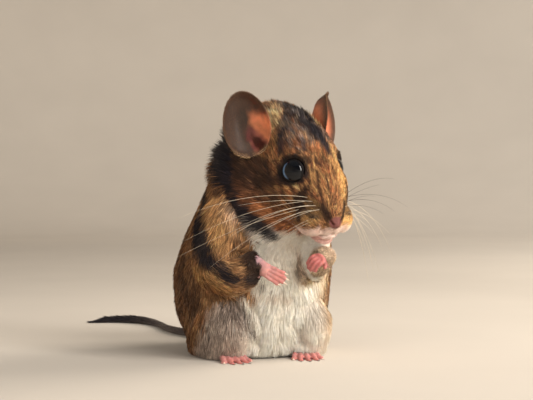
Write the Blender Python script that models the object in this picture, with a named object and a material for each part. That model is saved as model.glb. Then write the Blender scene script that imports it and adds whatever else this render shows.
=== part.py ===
"""A gerbil sitting up on its haunches with its hands at its chest, life size and still.

The animal faces -Y, its left side is +X, and it sits on the floor at Z = 0. The origin is
the middle of its seat. Sizes are in millimetres; MM turns them into Blender's metres.
The flesh is made whole from lofted bodies, smoothed into one skin out to the tips of the
coat, and then parted with thin cuts into the pieces that a person would name.
"""

import math

import bmesh
import bpy
import numpy as np
from mathutils import Matrix, Vector

MM = 0.001
GAP = 0.3

# The trunk, from the seat up: height, how far back its middle is, half width, half depth
TRUNK_STATIONS = (
    (-1.5, 1.0, 14.0, 14.5),
    (3.0, 1.0, 20.0, 20.5),
    (9.0, 1.5, 22.6, 23.6),
    (17.0, 2.0, 24.3, 25.2),
    (26.0, 0.8, 24.5, 24.8),
    (33.0, -1.8, 23.4, 23.2),
    (40.0, -4.8, 21.6, 21.4),
    (48.0, -8.5, 19.0, 19.4),
    (56.0, -12.0, 16.4, 17.0),
    (63.0, -14.0, 12.5, 13.5),
    (67.0, -15.0, 7.0, 8.0),
)
TRUNK_RINGS = 34

# The head hangs from its own axes: back from the nose tip, to its left, and up
NOSE_TIP = Vector((9.9, -38.4, 40.3))
HEAD_TURN = math.radians(18.0)
HEAD_PITCH = math.radians(43.0)
HEAD_ROLL = math.radians(6.0)
# Back from the nose, half width, top, bottom, and how much the ring narrows upwards
HEAD_STATIONS = (
    (-0.6, 1.6, 0.6, -5.6, 0.00),
    (0.6, 3.6, 2.2, -8.4, 0.02),
    (2.4, 5.6, 4.0, -9.8, 0.04),
    (5.5, 8.0, 6.6, -10.9, 0.08),
    (10.0, 10.9, 9.6, -11.7, 0.12),
    (16.0, 12.9, 12.4, -12.6, 0.14),
    (22.0, 14.2, 14.6, -13.4, 0.14),
    (28.0, 15.3, 15.2, -13.6, 0.16),
    (34.0, 15.2, 14.4, -12.6, 0.18),
    (40.0, 13.6, 11.8, -9.5, 0.12),
    (45.0, 10.2, 8.0, -5.5, 0.06),
    (48.0, 5.5, 4.0, -1.5, 0.00),
)
HEAD_RINGS = 44

# Swellings of the head: back, to the side, up, and half sizes in the same order
MUZZLE_PAD = ((5.6, 5.0, -2.6), (5.6, 4.6, 4.6))
CHEEK = ((23.5, 8.6, -5.0), (9.5, 6.6, 8.0))
CHIN = ((3.9, 0.0, -8.9), (4.5, 4.0, 2.6))
NOSE_BULB = ((1.0, 0.0, 0.0), (2.2, 2.1, 1.7))

EYE = (16.3, 7.7, 6.6)
EYE_WAY = (-0.34, 0.82, 0.47)
EYE_RADIUS = 3.8
# The orbit is a low swelling round the eye, and the lids a ring that stands on it
ORBIT_SIZE, ORBIT_SINK = (2.7, 6.4, 6.2), 0.8
LID_RADIUS, LID_THICKNESS, LID_PROUD = 3.95, 0.6, 1.45

NOSTRIL = (-0.2, 1.15, -0.5)
NOSTRIL_SIZE = (1.5, 0.55, 0.45)
# The mouth runs back from the cleft of the upper lip: back, to the side, up
MOUTH_LINE = ((-1.2, -0.5, -6.3), (0.2, 2.6, -6.5), (2.6, 4.9, -6.4), (5.6, 6.8, -5.8))
MOUTH_WIDTH = 0.42
LIP_CLEFT = ((-1.2, 0.0, -1.9), (-1.2, 0.0, -4.0), (-1.2, 0.0, -6.2))
LIP_CLEFT_WIDTH = 0.35

# The pinna is a spoon-shaped cup: its middle, its long way and where it faces, on the left
RIGHT_EAR_MIDDLE = (34.4, 15.5, 8.6)
LEFT_EAR_MIDDLE = (35.2, 15.2, 6.5)
EAR_UP = (0.72, 0.11, 0.68)
RIGHT_EAR_FACING = (-0.646, 0.46, 0.60)
LEFT_EAR_FACING = (-0.56, 0.62, 0.55)
EAR_LONG, EAR_SHORT, EAR_DEPTH = 9.8, 6.7, 3.6
EAR_WALL = 0.7
EAR_RINGS, EAR_SECTORS = 5, 18

# Arms from shoulder to wrist: place and radius
RIGHT_ARM = (
    ((-11.0, -13.0, 48.0), 7.5),
    ((-16.5, -15.5, 38.0), 8.0),
    ((-18.5, -18.5, 28.5), 7.4),
    ((-15.5, -24.0, 26.0), 5.8),
    ((-10.6, -27.8, 29.2), 3.3),
)
LEFT_ARM = (
    ((10.0, -14.0, 48.0), 7.5),
    ((13.2, -17.0, 38.0), 7.4),
    ((13.0, -21.5, 28.5), 6.4),
    ((11.5, -27.5, 26.6), 4.6),
    ((9.4, -31.6, 29.6), 3.1),
)
RIGHT_WRIST, RIGHT_HAND_WAY = Vector((-10.6, -27.8, 29.2)), Vector((0.56, -0.71, -0.43))
LEFT_WRIST, LEFT_HAND_WAY = Vector((9.4, -31.6, 29.6)), Vector((-0.66, -0.70, 0.26))
RIGHT_HAND_BACK = Vector((-0.70, -0.66, 0.22))
LEFT_HAND_BACK = Vector((0.30, -0.50, 0.80))
PALM_LENGTH, PALM_WIDTH, PALM_THICKNESS = 5.0, 4.3, 2.8
# Each finger: how far across the palm it starts, its length, how it splays in degrees
FINGERS = ((-1.65, 4.2, -8.0), (-0.55, 5.1, -3.0), (0.55, 5.0, 3.0), (1.65, 4.0, 9.0))
FINGER_RADIUS = 0.82
RIGHT_CURL, LEFT_CURL = 36.0, 150.0

# Haunches: middle, half sizes, and how far the knee turns out in degrees
RIGHT_HAUNCH = ((-13.4, -4.5, 9.6), (9.8, 17.5, 14.6), 3.0)
LEFT_HAUNCH = ((11.4, -6.5, 9.6), (9.8, 17.5, 14.6), -3.0)
# Hind feet: heel, ball, and the toes' tips, on the floor
RIGHT_FOOT = (Vector((-15.0, -1.0, 0.0)), Vector((-13.6, -18.2, 0.0)), Vector((-12.9, -25.2, 0.0)))
LEFT_FOOT = (Vector((13.0, -2.0, 0.0)), Vector((8.6, -20.4, 0.0)), Vector((7.2, -27.4, 0.0)))
FOOT_WIDTH, FOOT_HEIGHT = 3.9, 3.0
TOES = ((-3.3, 4.6, -20.0), (-1.75, 6.7, -9.0), (0.0, 7.3, 0.0), (1.75, 6.7, 9.0), (3.3, 4.4, 20.0))
TOE_RADIUS = 1.05

# The tail: its route over the floor and its radius along its length
TAIL_ROUTE = (
    (1.0, 19.0, 6.0),
    (-0.5, 26.0, 3.6),
    (-4.5, 34.0, 1.6),
    (-9.0, 45.0, 1.1),
    (-10.6, 57.0, 1.0),
    (-10.0, 69.0, 1.0),
    (-12.0, 80.0, 1.0),
    (-19.0, 88.5, 1.0),
    (-28.5, 92.0, 1.0),
)
TAIL_RADII = ((0.0, 3.0), (0.12, 2.1), (0.3, 1.45), (0.6, 1.25), (0.82, 1.6), (0.94, 1.3), (1.0, 0.5))
TAIL_SINK = 0.25
TAIL_PIECES = 4

# Whiskers: rows down the pad and places along each row
WHISKER_ROWS, WHISKERS_IN_ROW = 3, 3
WHISKER_LENGTHS = (18.0, 27.0, 34.0)
WHISKER_RADIUS, WHISKER_SAG = 0.27, 0.1
PAD_REGION = ((6.6, 9.4, -1.7), (4.0, 4.6, 3.9))

# Regions that part the flesh: middle and half sizes
HAUNCH_REGION_SCALE = 1.05
NECK_POINT = Vector((0.0, -12.0, 53.0))
NECK_NORMAL = Vector((0.2, -0.82, 0.52))

# The face keeps its modelling within this distance of the nose tip
FACE_REACH, FACE_FADE = 23.0, 16.0
VOXEL = 0.5
REGION_VOXEL = 1.3
FLESH_TRIANGLES = 4400
REGION_TRIANGLES = 130

COAT = (0.33, 0.19, 0.09)
DARK_COAT = (0.05, 0.045, 0.05)
PINK_SKIN = (0.62, 0.28, 0.24)
EAR_SKIN = (0.33, 0.17, 0.11)
EYE_BLACK = (0.006, 0.007, 0.012)


def clear_scene():
    for old in list(bpy.data.objects):
        bpy.data.objects.remove(old, do_unlink=True)


def finish_material(name, colour, roughness):
    """A Principled material, made once for each name."""
    material = bpy.data.materials.get(name) or bpy.data.materials.new(name)
    material.use_nodes = True
    shader = material.node_tree.nodes["Principled BSDF"]
    shader.inputs["Base Color"].default_value = (*colour, 1.0)
    shader.inputs["Roughness"].default_value = roughness
    shader.inputs["Metallic"].default_value = 0.0
    return material


def unit(vector):
    return Vector(vector).normalized()


def head_axes():
    """Directions back, to the left and up of the turned and lowered head."""
    cos_turn, sin_turn = math.cos(HEAD_TURN), math.sin(HEAD_TURN)
    cos_pitch, sin_pitch = math.cos(HEAD_PITCH), math.sin(HEAD_PITCH)
    back = Vector((-sin_turn * cos_pitch, cos_turn * cos_pitch, sin_pitch))
    left = Vector((cos_turn, sin_turn, 0.0))
    up = Vector((sin_pitch * sin_turn, -sin_pitch * cos_turn, cos_pitch))
    roll = Matrix.Rotation(-HEAD_ROLL, 3, back)
    return back, roll @ left, roll @ up


def head_point(place, side=1.0):
    """A place given back, aside and up from the nose tip; side is -1 on the right."""
    back, left, up = head_axes()
    return NOSE_TIP + back * place[0] + left * place[1] * side + up * place[2]


def head_way(way, side=1.0):
    back, left, up = head_axes()
    return (back * way[0] + left * way[1] * side + up * way[2]).normalized()


def between(stations, count):
    """Rows read evenly off a smooth Catmull-Rom curve through the stations."""
    rows = np.array(stations, float)
    padded = np.vstack((2 * rows[0] - rows[1], rows, 2 * rows[-1] - rows[-2]))
    places = np.linspace(0.0, len(rows) - 1.0, count)
    index = np.minimum(places.astype(int), len(rows) - 2)
    t = (places - index)[:, None]
    before, start, end, after = (padded[index + k] for k in range(4))
    return 0.5 * (
        2 * start
        + (end - before) * t
        + (2 * before - 5 * start + 4 * end - after) * t**2
        + (3 * start - before - 3 * end + after) * t**3
    )


def object_from(bm, name):
    bm.normal_update()
    bmesh.ops.recalc_face_normals(bm, faces=bm.faces)
    mesh = bpy.data.meshes.new(name)
    bm.to_mesh(mesh)
    bm.free()
    obj = bpy.data.objects.new(name, mesh)
    bpy.context.scene.collection.objects.link(obj)
    return obj


def loft(name, rings):
    """A closed body through rings of points, with a fan over each end."""
    bm = bmesh.new()
    loops = [[bm.verts.new(Vector(point) * MM) for point in ring] for ring in rings]
    sides = len(loops[0])
    for near, far in zip(loops, loops[1:]):
        for k in range(sides):
            after = (k + 1) % sides
            bm.faces.new((near[k], near[after], far[after], far[k]))
    for loop in (loops[0], loops[-1]):
        middle = bm.verts.new(sum((v.co for v in loop), Vector()) / sides)
        for k in range(sides):
            bm.faces.new((loop[k], loop[(k + 1) % sides], middle))
    return object_from(bm, name)


def tube(name, points, radii, sides, flatten=1.0, up=Vector((0.0, 0.0, 1.0))):
    """A tube along points, carried round bends without twisting.

    Its thickness along up is flatten for each unit of its width.
    """
    points = [Vector(point) for point in points]
    side, rings = None, []
    for k, (point, radius) in enumerate(zip(points, radii)):
        way = (points[min(k + 1, len(points) - 1)] - points[max(k - 1, 0)]).normalized()
        side = way.cross(up) if side is None else side - way * side.dot(way)
        side.normalize()
        above = side.cross(way)
        turns = [2 * math.pi * j / sides for j in range(sides)]
        rings.append(
            [
                point + (side * math.cos(a) + above * math.sin(a) * flatten) * radius
                for a in turns
            ]
        )
    return loft(name, rings)


def ellipsoid(name, middle, half_sizes, axes, segments=24, rings=14):
    """A sphere stretched along three unit directions."""
    bm = bmesh.new()
    bmesh.ops.create_uvsphere(bm, u_segments=segments, v_segments=rings, radius=1.0)
    for vert in bm.verts:
        stretched = sum((axes[k] * vert.co[k] * half_sizes[k] for k in range(3)), Vector())
        vert.co = (Vector(middle) + stretched) * MM
    return object_from(bm, name)


def ring_tube(name, middle, normal, radius, thickness, sides=8, count=28):
    """A torus round a normal, as an eyelid is round its eye."""
    normal = unit(normal)
    across = normal.orthogonal().normalized()
    other = normal.cross(across)
    bm = bmesh.new()
    loops = []
    for k in range(count):
        turn = 2 * math.pi * k / count
        out = across * math.cos(turn) + other * math.sin(turn)
        loop = []
        for j in range(sides):
            roll = 2 * math.pi * j / sides
            place = out * (radius + thickness * math.cos(roll)) + normal * thickness * math.sin(roll)
            loop.append(bm.verts.new((Vector(middle) + place) * MM))
        loops.append(loop)
    for k in range(count):
        near, far = loops[k], loops[(k + 1) % count]
        for j in range(sides):
            after = (j + 1) % sides
            bm.faces.new((near[j], near[after], far[after], far[j]))
    return object_from(bm, name)


def apply_modifiers(obj):
    graph = bpy.context.evaluated_depsgraph_get()
    mesh = bpy.data.meshes.new_from_object(obj.evaluated_get(graph))
    obj.modifiers.clear()
    obj.data = mesh
    return obj


def modify(obj, kind, **settings):
    modifier = obj.modifiers.new(kind.title(), kind)
    for name, value in settings.items():
        setattr(modifier, name, value)
    return apply_modifiers(obj)


def boolean(obj, other, operation, keep=False):
    """Joins, cuts or keeps what is common to obj and other, and removes other."""
    modify(obj, "BOOLEAN", object=other, operation=operation, solver="EXACT")
    if not keep:
        bpy.data.objects.remove(other, do_unlink=True)
    return obj


def union_of(name, pieces):
    """One closed body from overlapping pieces, by a Boolean on their collection."""
    first, others = pieces[0], pieces[1:]
    group = bpy.data.collections.new(name + "_pieces")
    bpy.context.scene.collection.children.link(group)
    for piece in others:
        bpy.context.scene.collection.objects.unlink(piece)
        group.objects.link(piece)
    first.name = name
    modify(
        first, "BOOLEAN", operand_type="COLLECTION", collection=group,
        operation="UNION", solver="EXACT",
    )
    for piece in others:
        bpy.data.objects.remove(piece, do_unlink=True)
    bpy.data.collections.remove(group)
    return largest_body(first)


def join(name, pieces):
    """All pieces in one mesh, still apart, ready to be remeshed into one skin."""
    bm = bmesh.new()
    for piece in pieces:
        bm.from_mesh(piece.data)
        bpy.data.objects.remove(piece, do_unlink=True)
    return object_from(bm, name)


def copy_of(obj, name):
    twin = obj.copy()
    twin.data = obj.data.copy()
    twin.name = name
    bpy.context.scene.collection.objects.link(twin)
    return twin


def swollen(obj, name, distance):
    """A copy whose surface stands off by a distance along its normals."""
    twin = copy_of(obj, name)
    bm = bmesh.new()
    bm.from_mesh(twin.data)
    bm.normal_update()
    for vert, normal in [(v, v.normal.copy()) for v in bm.verts]:
        vert.co += normal * distance * MM
    bm.to_mesh(twin.data)
    bm.free()
    return twin


def largest_body(obj):
    """Keeps the largest closed surface and drops loose scraps."""
    bm = bmesh.new()
    bm.from_mesh(obj.data)
    unseen, islands = set(bm.verts), []
    while unseen:
        front, island = [unseen.pop()], []
        while front:
            vert = front.pop()
            island.append(vert)
            for edge in vert.link_edges:
                other = edge.other_vert(vert)
                if other in unseen:
                    unseen.remove(other)
                    front.append(other)
        islands.append(island)
    islands.sort(key=len, reverse=True)
    for island in islands[1:]:
        bmesh.ops.delete(bm, geom=island, context="VERTS")
    bmesh.ops.triangulate(bm, faces=bm.faces)
    bm.to_mesh(obj.data)
    bm.free()
    return obj


def floor_cutter():
    """Everything under the floor, so that what touches it is flat."""
    bm = bmesh.new()
    bmesh.ops.create_cube(bm, size=1.0)
    for vert in bm.verts:
        vert.co = Vector((vert.co.x * 0.4, vert.co.y * 0.4, (vert.co.z - 0.5) * 0.05))
    return object_from(bm, "floor_cutter")


def trunk():
    rings = []
    for height, back, half_width, half_depth in between(TRUNK_STATIONS, TRUNK_RINGS):
        turns = [2 * math.pi * k / 40 for k in range(40)]
        rings.append(
            [(half_width * math.cos(a), back + half_depth * math.sin(a), height) for a in turns]
        )
    return loft("trunk", rings)


def head_body():
    rings = []
    for back, half_width, top, bottom, narrowing in between(HEAD_STATIONS, HEAD_RINGS):
        middle, half_height = (top + bottom) / 2, (top - bottom) / 2
        ring = []
        for k in range(40):
            turn = 2 * math.pi * k / 40
            rise = math.sin(turn)
            aside = half_width * math.cos(turn) * (1 - narrowing * rise)
            ring.append(head_point((back, aside, middle + half_height * rise)))
        rings.append(ring)
    return loft("head_body", rings)


def head_swelling(name, shape, side, segments=24, rings=14):
    place, half_sizes = shape
    return ellipsoid(name, head_point(place, side), half_sizes, head_axes(), segments, rings)


def eye_middle(side):
    return head_point(EYE, side)


def eye_way(side):
    """Where an eye looks: outwards, forwards and a little up."""
    return head_way(EYE_WAY, side)


def orbit(side):
    way = eye_way(side)
    across = way.orthogonal().normalized()
    axes = (way, across, way.cross(across))
    return ellipsoid("orbit", eye_middle(side) - way * ORBIT_SINK, ORBIT_SIZE, axes)


def lids(side):
    place = eye_middle(side) + eye_way(side) * LID_PROUD
    return ring_tube("lids", place, eye_way(side), LID_RADIUS, LID_THICKNESS)


def arm_body(name, route):
    stations = between([(*place, radius) for place, radius in route], 13)
    return tube(name, [row[:3] for row in stations], [row[3] for row in stations], 20)


def haunch(name, shape, grow=1.0, segments=24, rings=14):
    middle, half_sizes, splay = shape
    turn = Matrix.Rotation(math.radians(splay), 3, "Z")
    axes = [turn @ Vector(axis) for axis in ((1, 0, 0), (0, 1, 0), (0, 0, 1))]
    return ellipsoid(name, middle, [size * grow for size in half_sizes], axes, segments, rings)


def flesh():
    """The whole furred body out to the tips of its coat, as one smooth skin."""
    pieces = [trunk(), head_body()]
    for side in (1.0, -1.0):
        for shape in (MUZZLE_PAD, CHEEK):
            pieces.append(head_swelling("swelling", shape, side))
        pieces += [orbit(side), lids(side)]
    for shape in (CHIN, NOSE_BULB):
        pieces.append(head_swelling("swelling", shape, 1.0))
    pieces += [arm_body("arm", RIGHT_ARM), arm_body("arm", LEFT_ARM)]
    pieces += [haunch("haunch", RIGHT_HAUNCH), haunch("haunch", LEFT_HAUNCH)]
    body = join("flesh", pieces)
    modify(body, "REMESH", mode="VOXEL", voxel_size=VOXEL * MM)
    smooth_away_from_face(body)
    return body


def smooth_away_from_face(body):
    """Blends the joins of the lofts, strongly on the trunk and lightly on the face."""
    group = body.vertex_groups.new(name="blend")
    for vert in body.data.vertices:
        distance = (vert.co / MM - NOSE_TIP).length
        share = (distance - FACE_REACH) / FACE_FADE
        group.add([vert.index], min(1.0, max(0.0, share)), "REPLACE")
    modify(body, "SMOOTH", factor=0.5, iterations=26, vertex_group="blend")
    modify(body, "SMOOTH", factor=0.5, iterations=3)


def thin_out(body, triangles):
    """Fewer triangles, kept where the surface bends most."""
    faces = sum(len(face.vertices) - 2 for face in body.data.polygons)
    return modify(
        body, "DECIMATE", decimate_type="COLLAPSE", ratio=triangles / faces,
        use_collapse_triangulate=True,
    )


def groove(head, name, line, width, side=1.0):
    """A thin rod laid along the skin, to cut a line such as the mouth into the face."""
    points = []
    for row in between(line, 9):
        _, place, normal, _ = head.closest_point_on_mesh(head_point(row, side) * MM)
        points.append(place / MM - normal * width * 0.2)
    return tube(name, points, [width] * len(points), 6, up=head_axes()[0])


def carve_face(head):
    for side in (1.0, -1.0):
        socket = ellipsoid(
            "socket", eye_middle(side), [EYE_RADIUS + GAP] * 3, head_axes(), 18, 10
        )
        boolean(head, socket, "DIFFERENCE")
        nostril = ellipsoid("nostril", head_point(NOSTRIL, side), NOSTRIL_SIZE, head_axes(), 8, 6)
        boolean(head, nostril, "DIFFERENCE")
        boolean(head, groove(head, "mouth", MOUTH_LINE, MOUTH_WIDTH, side), "DIFFERENCE")
    boolean(head, groove(head, "cleft", LIP_CLEFT, LIP_CLEFT_WIDTH), "DIFFERENCE")
    return largest_body(head)


def take(body, region, name):
    """Parts off what lies in a region, leaving a thin cut round it."""
    wide = swollen(region, "wide", GAP)
    piece = copy_of(body, name)
    boolean(piece, region, "INTERSECT")
    boolean(body, wide, "DIFFERENCE")
    largest_body(body)
    return largest_body(piece)


def neck_region():
    """A block that holds all in front of the neck's plane."""
    normal = unit(NECK_NORMAL)
    across = normal.orthogonal().normalized()
    other = normal.cross(across)
    bm = bmesh.new()
    bmesh.ops.create_cube(bm, size=1.0)
    for vert in bm.verts:
        place = across * vert.co.x * 90 + other * vert.co.y * 90 + normal * (vert.co.z + 0.5) * 60
        vert.co = (NECK_POINT + place) * MM
    return object_from(bm, "neck_region")


def arm_region(name, route):
    """The arm with a little room round it, from inside the shoulder to past the wrist."""
    grown = [(Vector(place), radius + 1.6) for place, radius in route]
    last = grown[-1][0] + (grown[-1][0] - grown[-2][0]).normalized() * 6.0
    stations = between([(*place, radius) for place, radius in grown] + [(*last, 4.5)], 12)
    region = tube(name, [row[:3] for row in stations], [row[3] for row in stations], 14)
    modify(region, "REMESH", mode="VOXEL", voxel_size=REGION_VOXEL * MM)
    return thin_out(region, REGION_TRIANGLES)


def ear_cup(side, name):
    """A spoon-shaped cup: its rim is an oval, and it deepens towards its middle."""
    up = head_way(EAR_UP, side)
    facing = head_way(LEFT_EAR_FACING if side > 0 else RIGHT_EAR_FACING, side)
    facing = (facing - up * facing.dot(up)).normalized()
    across = up.cross(facing) * side
    middle = head_point(LEFT_EAR_MIDDLE if side > 0 else RIGHT_EAR_MIDDLE, side)

    def sheet_point(share, turn, behind):
        """A point of the cup; behind sets it back by the wall's thickness."""
        rise = math.cos(turn)
        long_reach = EAR_LONG * (1.0 if rise > 0 else 0.92)
        short_reach = EAR_SHORT * (1.0 - 0.08 * rise)
        depth = EAR_DEPTH * (1 - share**2.2) + behind
        curl = 1.5 * (share * math.sin(turn)) ** 2
        flat = up * long_reach * share * rise + across * short_reach * share * math.sin(turn)
        return middle + flat - facing * (depth - curl)

    bm = bmesh.new()
    layers = []
    for behind in (0.0, EAR_WALL):
        layer = []
        for ring in range(1, EAR_RINGS + 1):
            share = ring / EAR_RINGS
            layer.append(
                [
                    bm.verts.new(sheet_point(share, 2 * math.pi * k / EAR_SECTORS, behind) * MM)
                    for k in range(EAR_SECTORS)
                ]
            )
        hub = bm.verts.new(sheet_point(0.0, 0.0, behind) * MM)
        for k in range(EAR_SECTORS):
            bm.faces.new((hub, layer[0][k], layer[0][(k + 1) % EAR_SECTORS]))
        layers.append(layer)
        for near, far in zip(layer, layer[1:]):
            for k in range(EAR_SECTORS):
                after = (k + 1) % EAR_SECTORS
                bm.faces.new((near[k], far[k], far[after]))
                bm.faces.new((near[k], far[after], near[after]))
    front, behind = layers[0][-1], layers[1][-1]
    for k in range(EAR_SECTORS):
        after = (k + 1) % EAR_SECTORS
        bm.faces.new((front[k], behind[k], behind[after], front[after]))
    return object_from(bm, name)


def digit(start, way, back, length, radius, curl, sides=6, steps=3):
    """A finger or toe that bends away from its back and ends in a claw."""
    points, radii = [], []
    across = way.cross(back).normalized()
    place = start - way * radius * 1.2
    for k in range(steps + 1):
        share = k / steps
        points.append(place.copy())
        knuckle = 1.0 + 0.12 * math.sin(share * math.pi * 2.0)
        radii.append(radius * knuckle * (1.0 - 0.25 * share))
        bend = Matrix.Rotation(-math.radians(curl) * share, 3, across)
        place += bend @ way * (length + radius * 1.2) / steps
    end = (points[-1] - points[-2]).normalized()
    points.append(points[-1] + end * radius * 0.5)
    radii.append(radius * 0.42)
    points.append(points[-1] + end * radius * 0.9 - back * radius * 0.2)
    radii.append(radius * 0.14)
    return tube("digit", points, radii, sides, up=across)


def hand(name, wrist, way, back, curl, side):
    """A palm with four fingers, rooted at the wrist."""
    way = way.normalized()
    back = (back - way * back.dot(way)).normalized()
    across = way.cross(back).normalized()
    start = wrist + way * GAP
    shares = (0.0, 0.25, 0.55, 0.85, 1.0)
    widths = (0.62, 0.78, 0.98, 1.0, 0.72)
    palm = tube(
        name,
        [start + way * PALM_LENGTH * share for share in shares],
        [PALM_WIDTH / 2 * width for width in widths],
        12, PALM_THICKNESS / PALM_WIDTH, back,
    )
    pieces = [palm]
    for aside, length, splay in FINGERS:
        turn = Matrix.Rotation(math.radians(splay) * -1.0, 3, back)
        root = start + way * PALM_LENGTH * 0.86 + across * aside
        pieces.append(digit(root, turn @ way, back, length, FINGER_RADIUS, curl))
    thumb_way = Matrix.Rotation(math.radians(52.0) * side, 3, back) @ way
    thumb = start + way * PALM_LENGTH * 0.35 - across * PALM_WIDTH * 0.34 * side
    pieces.append(digit(thumb, thumb_way, back, 2.0, FINGER_RADIUS * 0.85, curl * 0.4, 6, 2))
    return union_of(name, pieces)


def foot(name, heel, ball, tips):
    """A hind foot flat on the floor, with five toes."""
    way = (tips - ball).normalized()
    up = Vector((0.0, 0.0, 1.0))
    across = way.cross(up).normalized()
    shares = (0.0, 0.12, 0.45, 0.8, 1.0)
    widths = (0.45, 0.72, 0.8, 1.0, 0.8)
    heights = (0.7, 1.0, 1.0, 0.85, 0.6)
    rings = []
    for share, width, height in zip(shares, widths, heights):
        middle = heel.lerp(ball, share)
        half_height = FOOT_HEIGHT / 2 * height
        ring = []
        for k in range(12):
            turn = 2 * math.pi * k / 12
            lift = up * (half_height * (1 + math.sin(turn)) - 0.3)
            ring.append(middle + across * FOOT_WIDTH * width * math.cos(turn) + lift)
        rings.append(ring)
    pieces = [loft(name, rings)]
    for aside, length, splay in TOES:
        turn = Matrix.Rotation(math.radians(-splay), 3, up)
        root = ball - way * 1.4 + across * aside * 0.86 + up * (TOE_RADIUS * 1.35)
        pieces.append(digit(root, turn @ way, up, length, TOE_RADIUS, 30.0))
    return union_of(name, pieces)


def tail_pieces():
    """The tail in a few lengths, laid on the floor with a thin cut between them."""
    route = between(TAIL_ROUTE, 61)
    steps = np.linalg.norm(np.diff(route, axis=0), axis=1)
    travelled = np.concatenate(([0.0], np.cumsum(steps))) / steps.sum()
    shares, sizes = zip(*TAIL_RADII)
    radii = np.interp(travelled, shares, sizes)
    resting = travelled > 0.2
    route[resting, 2] = radii[resting] - TAIL_SINK
    blend = (travelled > 0.08) & ~resting
    route[blend, 2] = np.maximum(route[blend, 2], radii[blend] - TAIL_SINK)
    pieces = []
    per_piece = (len(route) - 1) // TAIL_PIECES
    for k in range(TAIL_PIECES):
        span = slice(k * per_piece, (k + 1) * per_piece + 1, 2 if k else 1)
        points = [Vector(row) for row in route[span]]
        radius = list(radii[span])
        if k:
            way = (points[1] - points[0]).normalized()
            points[0] = points[0] + way * GAP
        if k == TAIL_PIECES - 1:
            end = (points[-1] - points[-2]).normalized()
            points.append(points[-1] + end * 1.2)
            radius.append(0.2)
        pieces.append(tube(f"tail_{k + 1}", points, radius, 10))
    return pieces


def whisker(pad, side, row, column):
    """One tapered whisker, from inside its pad out, back and down."""
    guide = head_point((4.6 + 1.5 * column, 10.0, 0.2 - 1.9 * row), side)
    _, place, normal, _ = pad.closest_point_on_mesh(guide * MM)
    root = place / MM - normal * 0.9
    length = WHISKER_LENGTHS[column]
    way = head_way((0.14 + 0.13 * column, 1.0, 0.14 - 0.34 * row), side)
    points, radii = [], []
    for share in (0.0, 0.2, 0.45, 0.72, 1.0):
        sag = Vector((0.0, 0.0, -WHISKER_SAG * length * share**2))
        points.append(root + way * length * share + sag)
        radii.append(WHISKER_RADIUS * (1.0 - 0.62 * share))
    return tube("whisker", points, radii, 4, up=head_axes()[0])


def whisker_pad(head, side, name):
    region = head_swelling("pad_region", PAD_REGION, side, 14, 8)
    pad = take(head, region, name)
    pieces = [pad]
    for row in range(WHISKER_ROWS):
        for column in range(WHISKERS_IN_ROW):
            pieces.append(whisker(pad, side, row, column))
    return union_of(name, pieces)


def finish(obj, material, smooth_angle=38.0):
    obj.data.materials.clear()
    obj.data.materials.append(material)
    obj.data.shade_smooth()
    obj.data.set_sharp_from_angle(angle=math.radians(smooth_angle))


def main():
    clear_scene()
    coat = finish_material("coat", COAT, 0.9)
    dark_coat = finish_material("dark_coat", DARK_COAT, 0.85)
    pink = finish_material("pink_skin", PINK_SKIN, 0.5)
    ear_skin = finish_material("ear_skin", EAR_SKIN, 0.6)
    eye_black = finish_material("eye_black", EYE_BLACK, 0.05)

    body = thin_out(flesh(), FLESH_TRIANGLES)
    boolean(body, floor_cutter(), "DIFFERENCE")
    largest_body(body)
    clearance = swollen(body, "clearance", GAP)
    clearance.hide_render = True

    parts = {}
    for side, word, shape in ((1.0, "left", LEFT_HAUNCH), (-1.0, "right", RIGHT_HAUNCH)):
        parts[f"haunch_{word}"] = take(
            body, haunch("region", shape, HAUNCH_REGION_SCALE, 18, 10), f"haunch_{word}"
        )
    for word, route in (("left", LEFT_ARM), ("right", RIGHT_ARM)):
        parts[f"arm_{word}"] = take(body, arm_region("region", route), f"arm_{word}")
    head = take(body, neck_region(), "head")
    body.name = "torso"
    parts["torso"] = body
    parts["head"] = carve_face(head)
    for side, word in ((1.0, "left"), (-1.0, "right")):
        parts[f"whiskers_{word}"] = whisker_pad(head, side, f"whiskers_{word}")
    for obj in parts.values():
        finish(obj, coat)

    for side, word in ((1.0, "left"), (-1.0, "right")):
        eye = ellipsoid(f"eye_{word}", eye_middle(side), [EYE_RADIUS] * 3, head_axes(), 18, 10)
        finish(eye, eye_black)
        ear = ear_cup(side, f"ear_{word}")
        boolean(ear, clearance, "DIFFERENCE", keep=True)
        finish(largest_body(ear), ear_skin)

    hands = (
        ("hand_right", RIGHT_WRIST, RIGHT_HAND_WAY, RIGHT_HAND_BACK, RIGHT_CURL, -1.0),
        ("hand_left", LEFT_WRIST, LEFT_HAND_WAY, LEFT_HAND_BACK, LEFT_CURL, 1.0),
    )
    for settings in hands:
        made = hand(*settings)
        boolean(made, clearance, "DIFFERENCE", keep=True)
        finish(largest_body(made), pink)
    for name, marks in (("foot_right", RIGHT_FOOT), ("foot_left", LEFT_FOOT)):
        made = foot(name, *marks)
        boolean(made, floor_cutter(), "DIFFERENCE")
        boolean(made, clearance, "DIFFERENCE", keep=True)
        finish(largest_body(made), pink)
    for piece in tail_pieces():
        boolean(piece, floor_cutter(), "DIFFERENCE")
        boolean(piece, clearance, "DIFFERENCE", keep=True)
        finish(largest_body(piece), dark_coat)
    bpy.data.objects.remove(clearance, do_unlink=True)


main()
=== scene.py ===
# %% [markdown]
# # A gerbil sitting up, from its skin to its whiskers
#
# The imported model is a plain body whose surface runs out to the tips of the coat. This lesson
# dresses it as a museum would: one skin a little under that surface, a coat of many small
# tufts that lie along the body, wet dark eyes, thin ears, bare hands and feet with claws, a
# furred tail and fine whiskers. Shapes are worked out as numpy arrays in millimetres and are
# turned into metres only when a mesh is made.

import math

import bmesh
import bpy
import numpy as np
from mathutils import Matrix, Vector
from mathutils.bvhtree import BVHTree


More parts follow.
